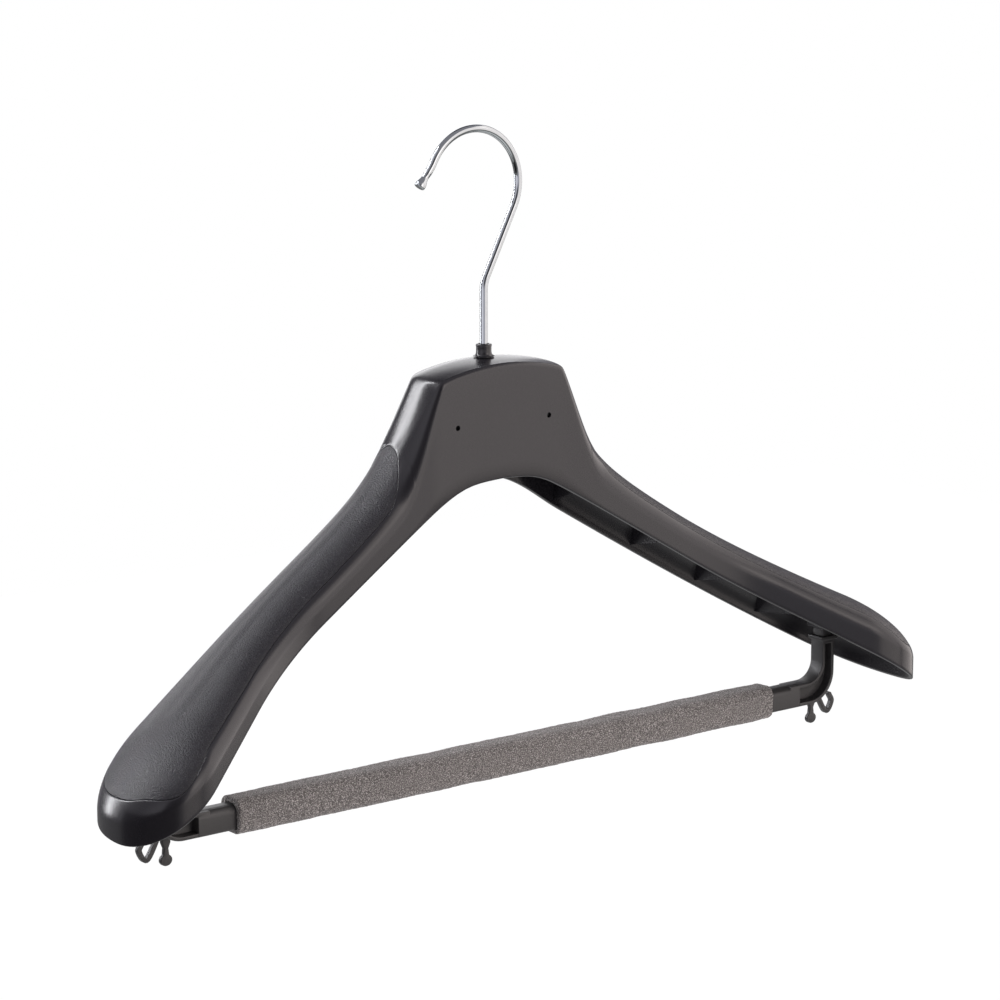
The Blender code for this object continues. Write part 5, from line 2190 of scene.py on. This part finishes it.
@dataclass
class Studio:
    """Camera, floor, walls, lamps and the black card beside the right arm's end."""

    target: Point3 = (0.0, -0.03, -0.20)
    eye: Point3 = (-1.02976, -1.33007, 0.18840)
    azimuth: float = math.radians(38.0)
    elevation: float = math.radians(12.0)
    lens: float = 134.46
    sensor: float = 36.0
    clip_near: float = 0.05
    clip_far: float = 50.0
    floor_drop: float = 0.70
    floor_half: float = 3.0
    floor_colour: float = 0.75
    floor_glow: float = 0.97
    floor_white: float = 1.03
    pool_start: float = 0.50
    pool_end: float = 1.30
    pool_rim: float = 0.25
    ambient: float = 0.50
    wall_level: float = 0.45
    card_middle: Point2 = (-0.20, -0.05)
    card_radius: float = 0.30
    card_low: float = -0.45
    card_high: float = -0.215
    card_start: float = math.radians(-175.0)
    card_end: float = math.radians(-45.0)
    card_steps: int = 24
    wall_tint: Point3 = (0.94, 0.91, 1.0)
    glows: tuple[Glow, ...] = (
        Glow(-122.0, -8.0, 20.0, 62.0, 1.0),
        Glow(-106.0, -10.0, 5.0, 18.0, 1.6),
        Glow(-12.0, -6.0, 10.0, 26.0, 0.20),
        Glow(56.0, -4.0, 8.0, 22.0, 0.22),
        Glow(38.0, 54.0, 10.0, 26.0, 0.12),
        Glow(-148.0, 18.0, 12.0, 28.0, 0.10),
    )
    softboxes: tuple[Softbox, ...] = (
        Softbox("key_right", 101.0, 15.0, 1.60, 1.66, 2.10, 1.45, (1.0, 0.91, 0.86)),
        Softbox("key_front", 155.0, 10.0, 1.60, 1.50, 1.80, 1.40, (1.0, 0.91, 0.86)),
        Softbox("front_spot", 168.0, 17.0, 1.50, 0.60, 0.40, 1.20, (1.0, 0.91, 0.86)),
        Softbox("strip_behind_left", -37.0, 34.0, 1.40, 0.13, 1.10, 26.0, (0.97, 0.97, 1.0)),
        Softbox("strip_low", -30.0, 1.0, 1.40, 0.14, 0.50, 16.0, (0.97, 0.97, 1.0)),
        Softbox("top_left", -72.0, 50.0, 1.40, 0.70, 0.60, 1.2, (0.96, 0.95, 1.0)),
        Softbox("panel_behind", 25.0, 16.0, 1.40, 0.83, 0.85, 1.5),
    )

    def camera(self) -> None:
        """Stand the camera where the hanger is seen from."""
        forward = heading(self.azimuth, -self.elevation)
        right = Vector((math.cos(self.azimuth), -math.sin(self.azimuth), 0.0))
        up = right.cross(forward)
        data = bpy.data.cameras.new("camera")
        data.lens = self.lens
        data.sensor_width = self.sensor
        data.clip_start = self.clip_near
        data.clip_end = self.clip_far
        camera = bpy.data.objects.new("camera", data)
        turn = Matrix((right, up, -forward)).transposed().to_4x4()
        camera.matrix_world = Matrix.Translation(self.eye) @ turn
        bpy.context.scene.collection.objects.link(camera)
        bpy.context.scene.camera = camera

    def floor(self) -> None:
        """Lay the pale floor: white to the eye, with a pool of light round the hanger in reflections."""
        half = self.floor_half
        points = [(-half, -half, 0.0), (half, -half, 0.0), (half, half, 0.0), (-half, half, 0.0)]
        floor = mesh_piece("studio_floor", points, [(0, 1, 2, 3)])
        floor.location.z = CAD_LOW.z - self.floor_drop
        bench = MaterialBench("floor_white")
        tree, shader = bench.tree, bench.shader
        add, link = tree.nodes.new, tree.links.new
        shader.inputs["Base Color"].default_value = (*(3 * [self.floor_colour]), 1.0)
        shader.inputs["Roughness"].default_value = 0.9
        path, place = add("ShaderNodeLightPath"), add("ShaderNodeTexCoord")
        radius = add("ShaderNodeVectorMath")
        radius.operation = "LENGTH"
        link(place.outputs["Object"], radius.inputs[0])
        pool = add("ShaderNodeMapRange")
        pool.interpolation_type = "SMOOTHSTEP"
        pool.inputs["From Min"].default_value = self.pool_start
        pool.inputs["From Max"].default_value = self.pool_end
        pool.inputs["To Min"].default_value = 1.0
        pool.inputs["To Max"].default_value = self.pool_rim
        link(radius.outputs["Value"], pool.inputs["Value"])
        plain = math_node(tree, "SUBTRACT", 1.0, path.outputs["Is Glossy Ray"])
        glow = add("ShaderNodeEmission")
        glow.inputs["Color"].default_value = (*(3 * [self.floor_white]), 1.0)
        link(math_node(tree, "MAXIMUM", pool.outputs["Result"], plain), glow.inputs["Strength"])
        seen = math_node(tree, "MAXIMUM", path.outputs["Is Camera Ray"], path.outputs["Is Glossy Ray"])
        seen = math_node(tree, "MAXIMUM", seen, path.outputs["Is Transmission Ray"])
        lit, open_below = add("ShaderNodeMixShader"), add("ShaderNodeMixShader")
        link(math_node(tree, "MULTIPLY", seen, self.floor_glow), lit.inputs["Fac"])
        link(shader.outputs[0], lit.inputs[1])
        link(glow.outputs[0], lit.inputs[2])
        link(add("ShaderNodeNewGeometry").outputs["Backfacing"], open_below.inputs["Fac"])
        link(lit.outputs[0], open_below.inputs[1])
        link(add("ShaderNodeBsdfTransparent").outputs[0], open_below.inputs[2])
        link(open_below.outputs[0], tree.nodes["Material Output"].inputs["Surface"])
        floor.data.materials.append(bench.material)

    def card(self) -> None:
        """Stand the black card round the right arm's end, at -X; only reflections show it."""
        points: list[Point3] = []
        for z in (self.card_low, self.card_high):
            for i in range(self.card_steps + 1):
                turn = self.card_start + (self.card_end - self.card_start) * i / self.card_steps
                out = heading(turn, 0.0) * self.card_radius
                points.append((self.card_middle[0] + out.x, self.card_middle[1] + out.y, z))
        card = mesh_piece("studio_card", points, grid_faces(2, self.card_steps + 1))
        bench = MaterialBench("card_black")
        bench.shader.inputs["Base Color"].default_value = (0.01, 0.01, 0.01, 1.0)
        bench.shader.inputs["Roughness"].default_value = 0.9
        card.data.materials.append(bench.material)
        card.visible_camera = False
        card.visible_diffuse = False
        card.visible_transmission = False
        card.visible_shadow = False

    def world(self) -> None:
        """White for the camera, a plain ambient for the light, and soft walls for reflections."""
        world = bpy.data.worlds.new("studio")
        bpy.context.scene.world = world
        world.use_nodes = True
        tree = world.node_tree
        tree.nodes.clear()
        add, link = tree.nodes.new, tree.links.new
        path, place = add("ShaderNodeLightPath"), add("ShaderNodeTexCoord")
        out = add("ShaderNodeOutputWorld")
        level = None
        for glow in self.glows:
            turn, patch = add("ShaderNodeVectorMath"), add("ShaderNodeMapRange")
            turn.operation = "DOT_PRODUCT"
            turn.inputs[1].default_value = heading(math.radians(glow.azimuth), math.radians(glow.elevation))
            link(place.outputs["Generated"], turn.inputs[0])
            patch.interpolation_type = "SMOOTHSTEP"
            patch.inputs["From Min"].default_value = math.cos(math.radians(glow.outer))
            patch.inputs["From Max"].default_value = math.cos(math.radians(glow.inner))
            patch.inputs["To Min"].default_value = self.wall_level
            patch.inputs["To Max"].default_value = glow.level
            link(turn.outputs["Value"], patch.inputs["Value"])
            if level is not None:
                link(level, patch.inputs["To Min"])
            level = patch.outputs["Result"]
        ambient, walls, white = (add("ShaderNodeBackground") for _ in range(3))
        ambient.inputs["Strength"].default_value = self.ambient
        link(level, walls.inputs["Strength"])
        for node in (ambient, walls):
            node.inputs["Color"].default_value = (*self.wall_tint, 1.0)
        white.inputs["Color"].default_value = (1.0, 1.0, 1.0, 1.0)
        first, second = add("ShaderNodeMixShader"), add("ShaderNodeMixShader")
        link(path.outputs["Is Glossy Ray"], first.inputs["Fac"])
        link(ambient.outputs[0], first.inputs[1])
        link(walls.outputs[0], first.inputs[2])
        link(path.outputs["Is Camera Ray"], second.inputs["Fac"])
        link(first.outputs[0], second.inputs[1])
        link(white.outputs[0], second.inputs[2])
        link(second.outputs[0], out.inputs["Surface"])

    def build(self) -> None:
        """Set up the whole studio."""
        self.camera()
        self.floor()
        self.card()
        self.world()
        for softbox in self.softboxes:
            softbox.place(Vector(self.target))
        bpy.context.scene.view_settings.view_transform = "Standard"


def main() -> None:
    """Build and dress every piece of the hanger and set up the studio."""
    logging.basicConfig(level=logging.INFO, format="%(name)s: %(message)s")
    effects = SharedEffects()
    form = ShellForm()
    lines = ArmLines(form)
    place = BarPlace(form)
    MouldedShell(form, lines, place).dress(SHELL_FINISH.make(effects))
    grip_material = GRIP_FINISH.make(effects)
    for side in Side:
        ShoulderGrip(side, lines).dress(grip_material)
    WireHook().dress(CHROME_FINISH.make(effects))
    RetainerWasher().dress(STEEL_FINISH.make(effects))
    StemBush().dress(BUSH_FINISH.make(effects))
    TrouserBar(place).dress(BAR_FINISH.make(effects))
    FoamSleeve(place).dress(FOAM_FINISH.make(effects))
    Studio().build()


if __name__ == "__main__":
    main()
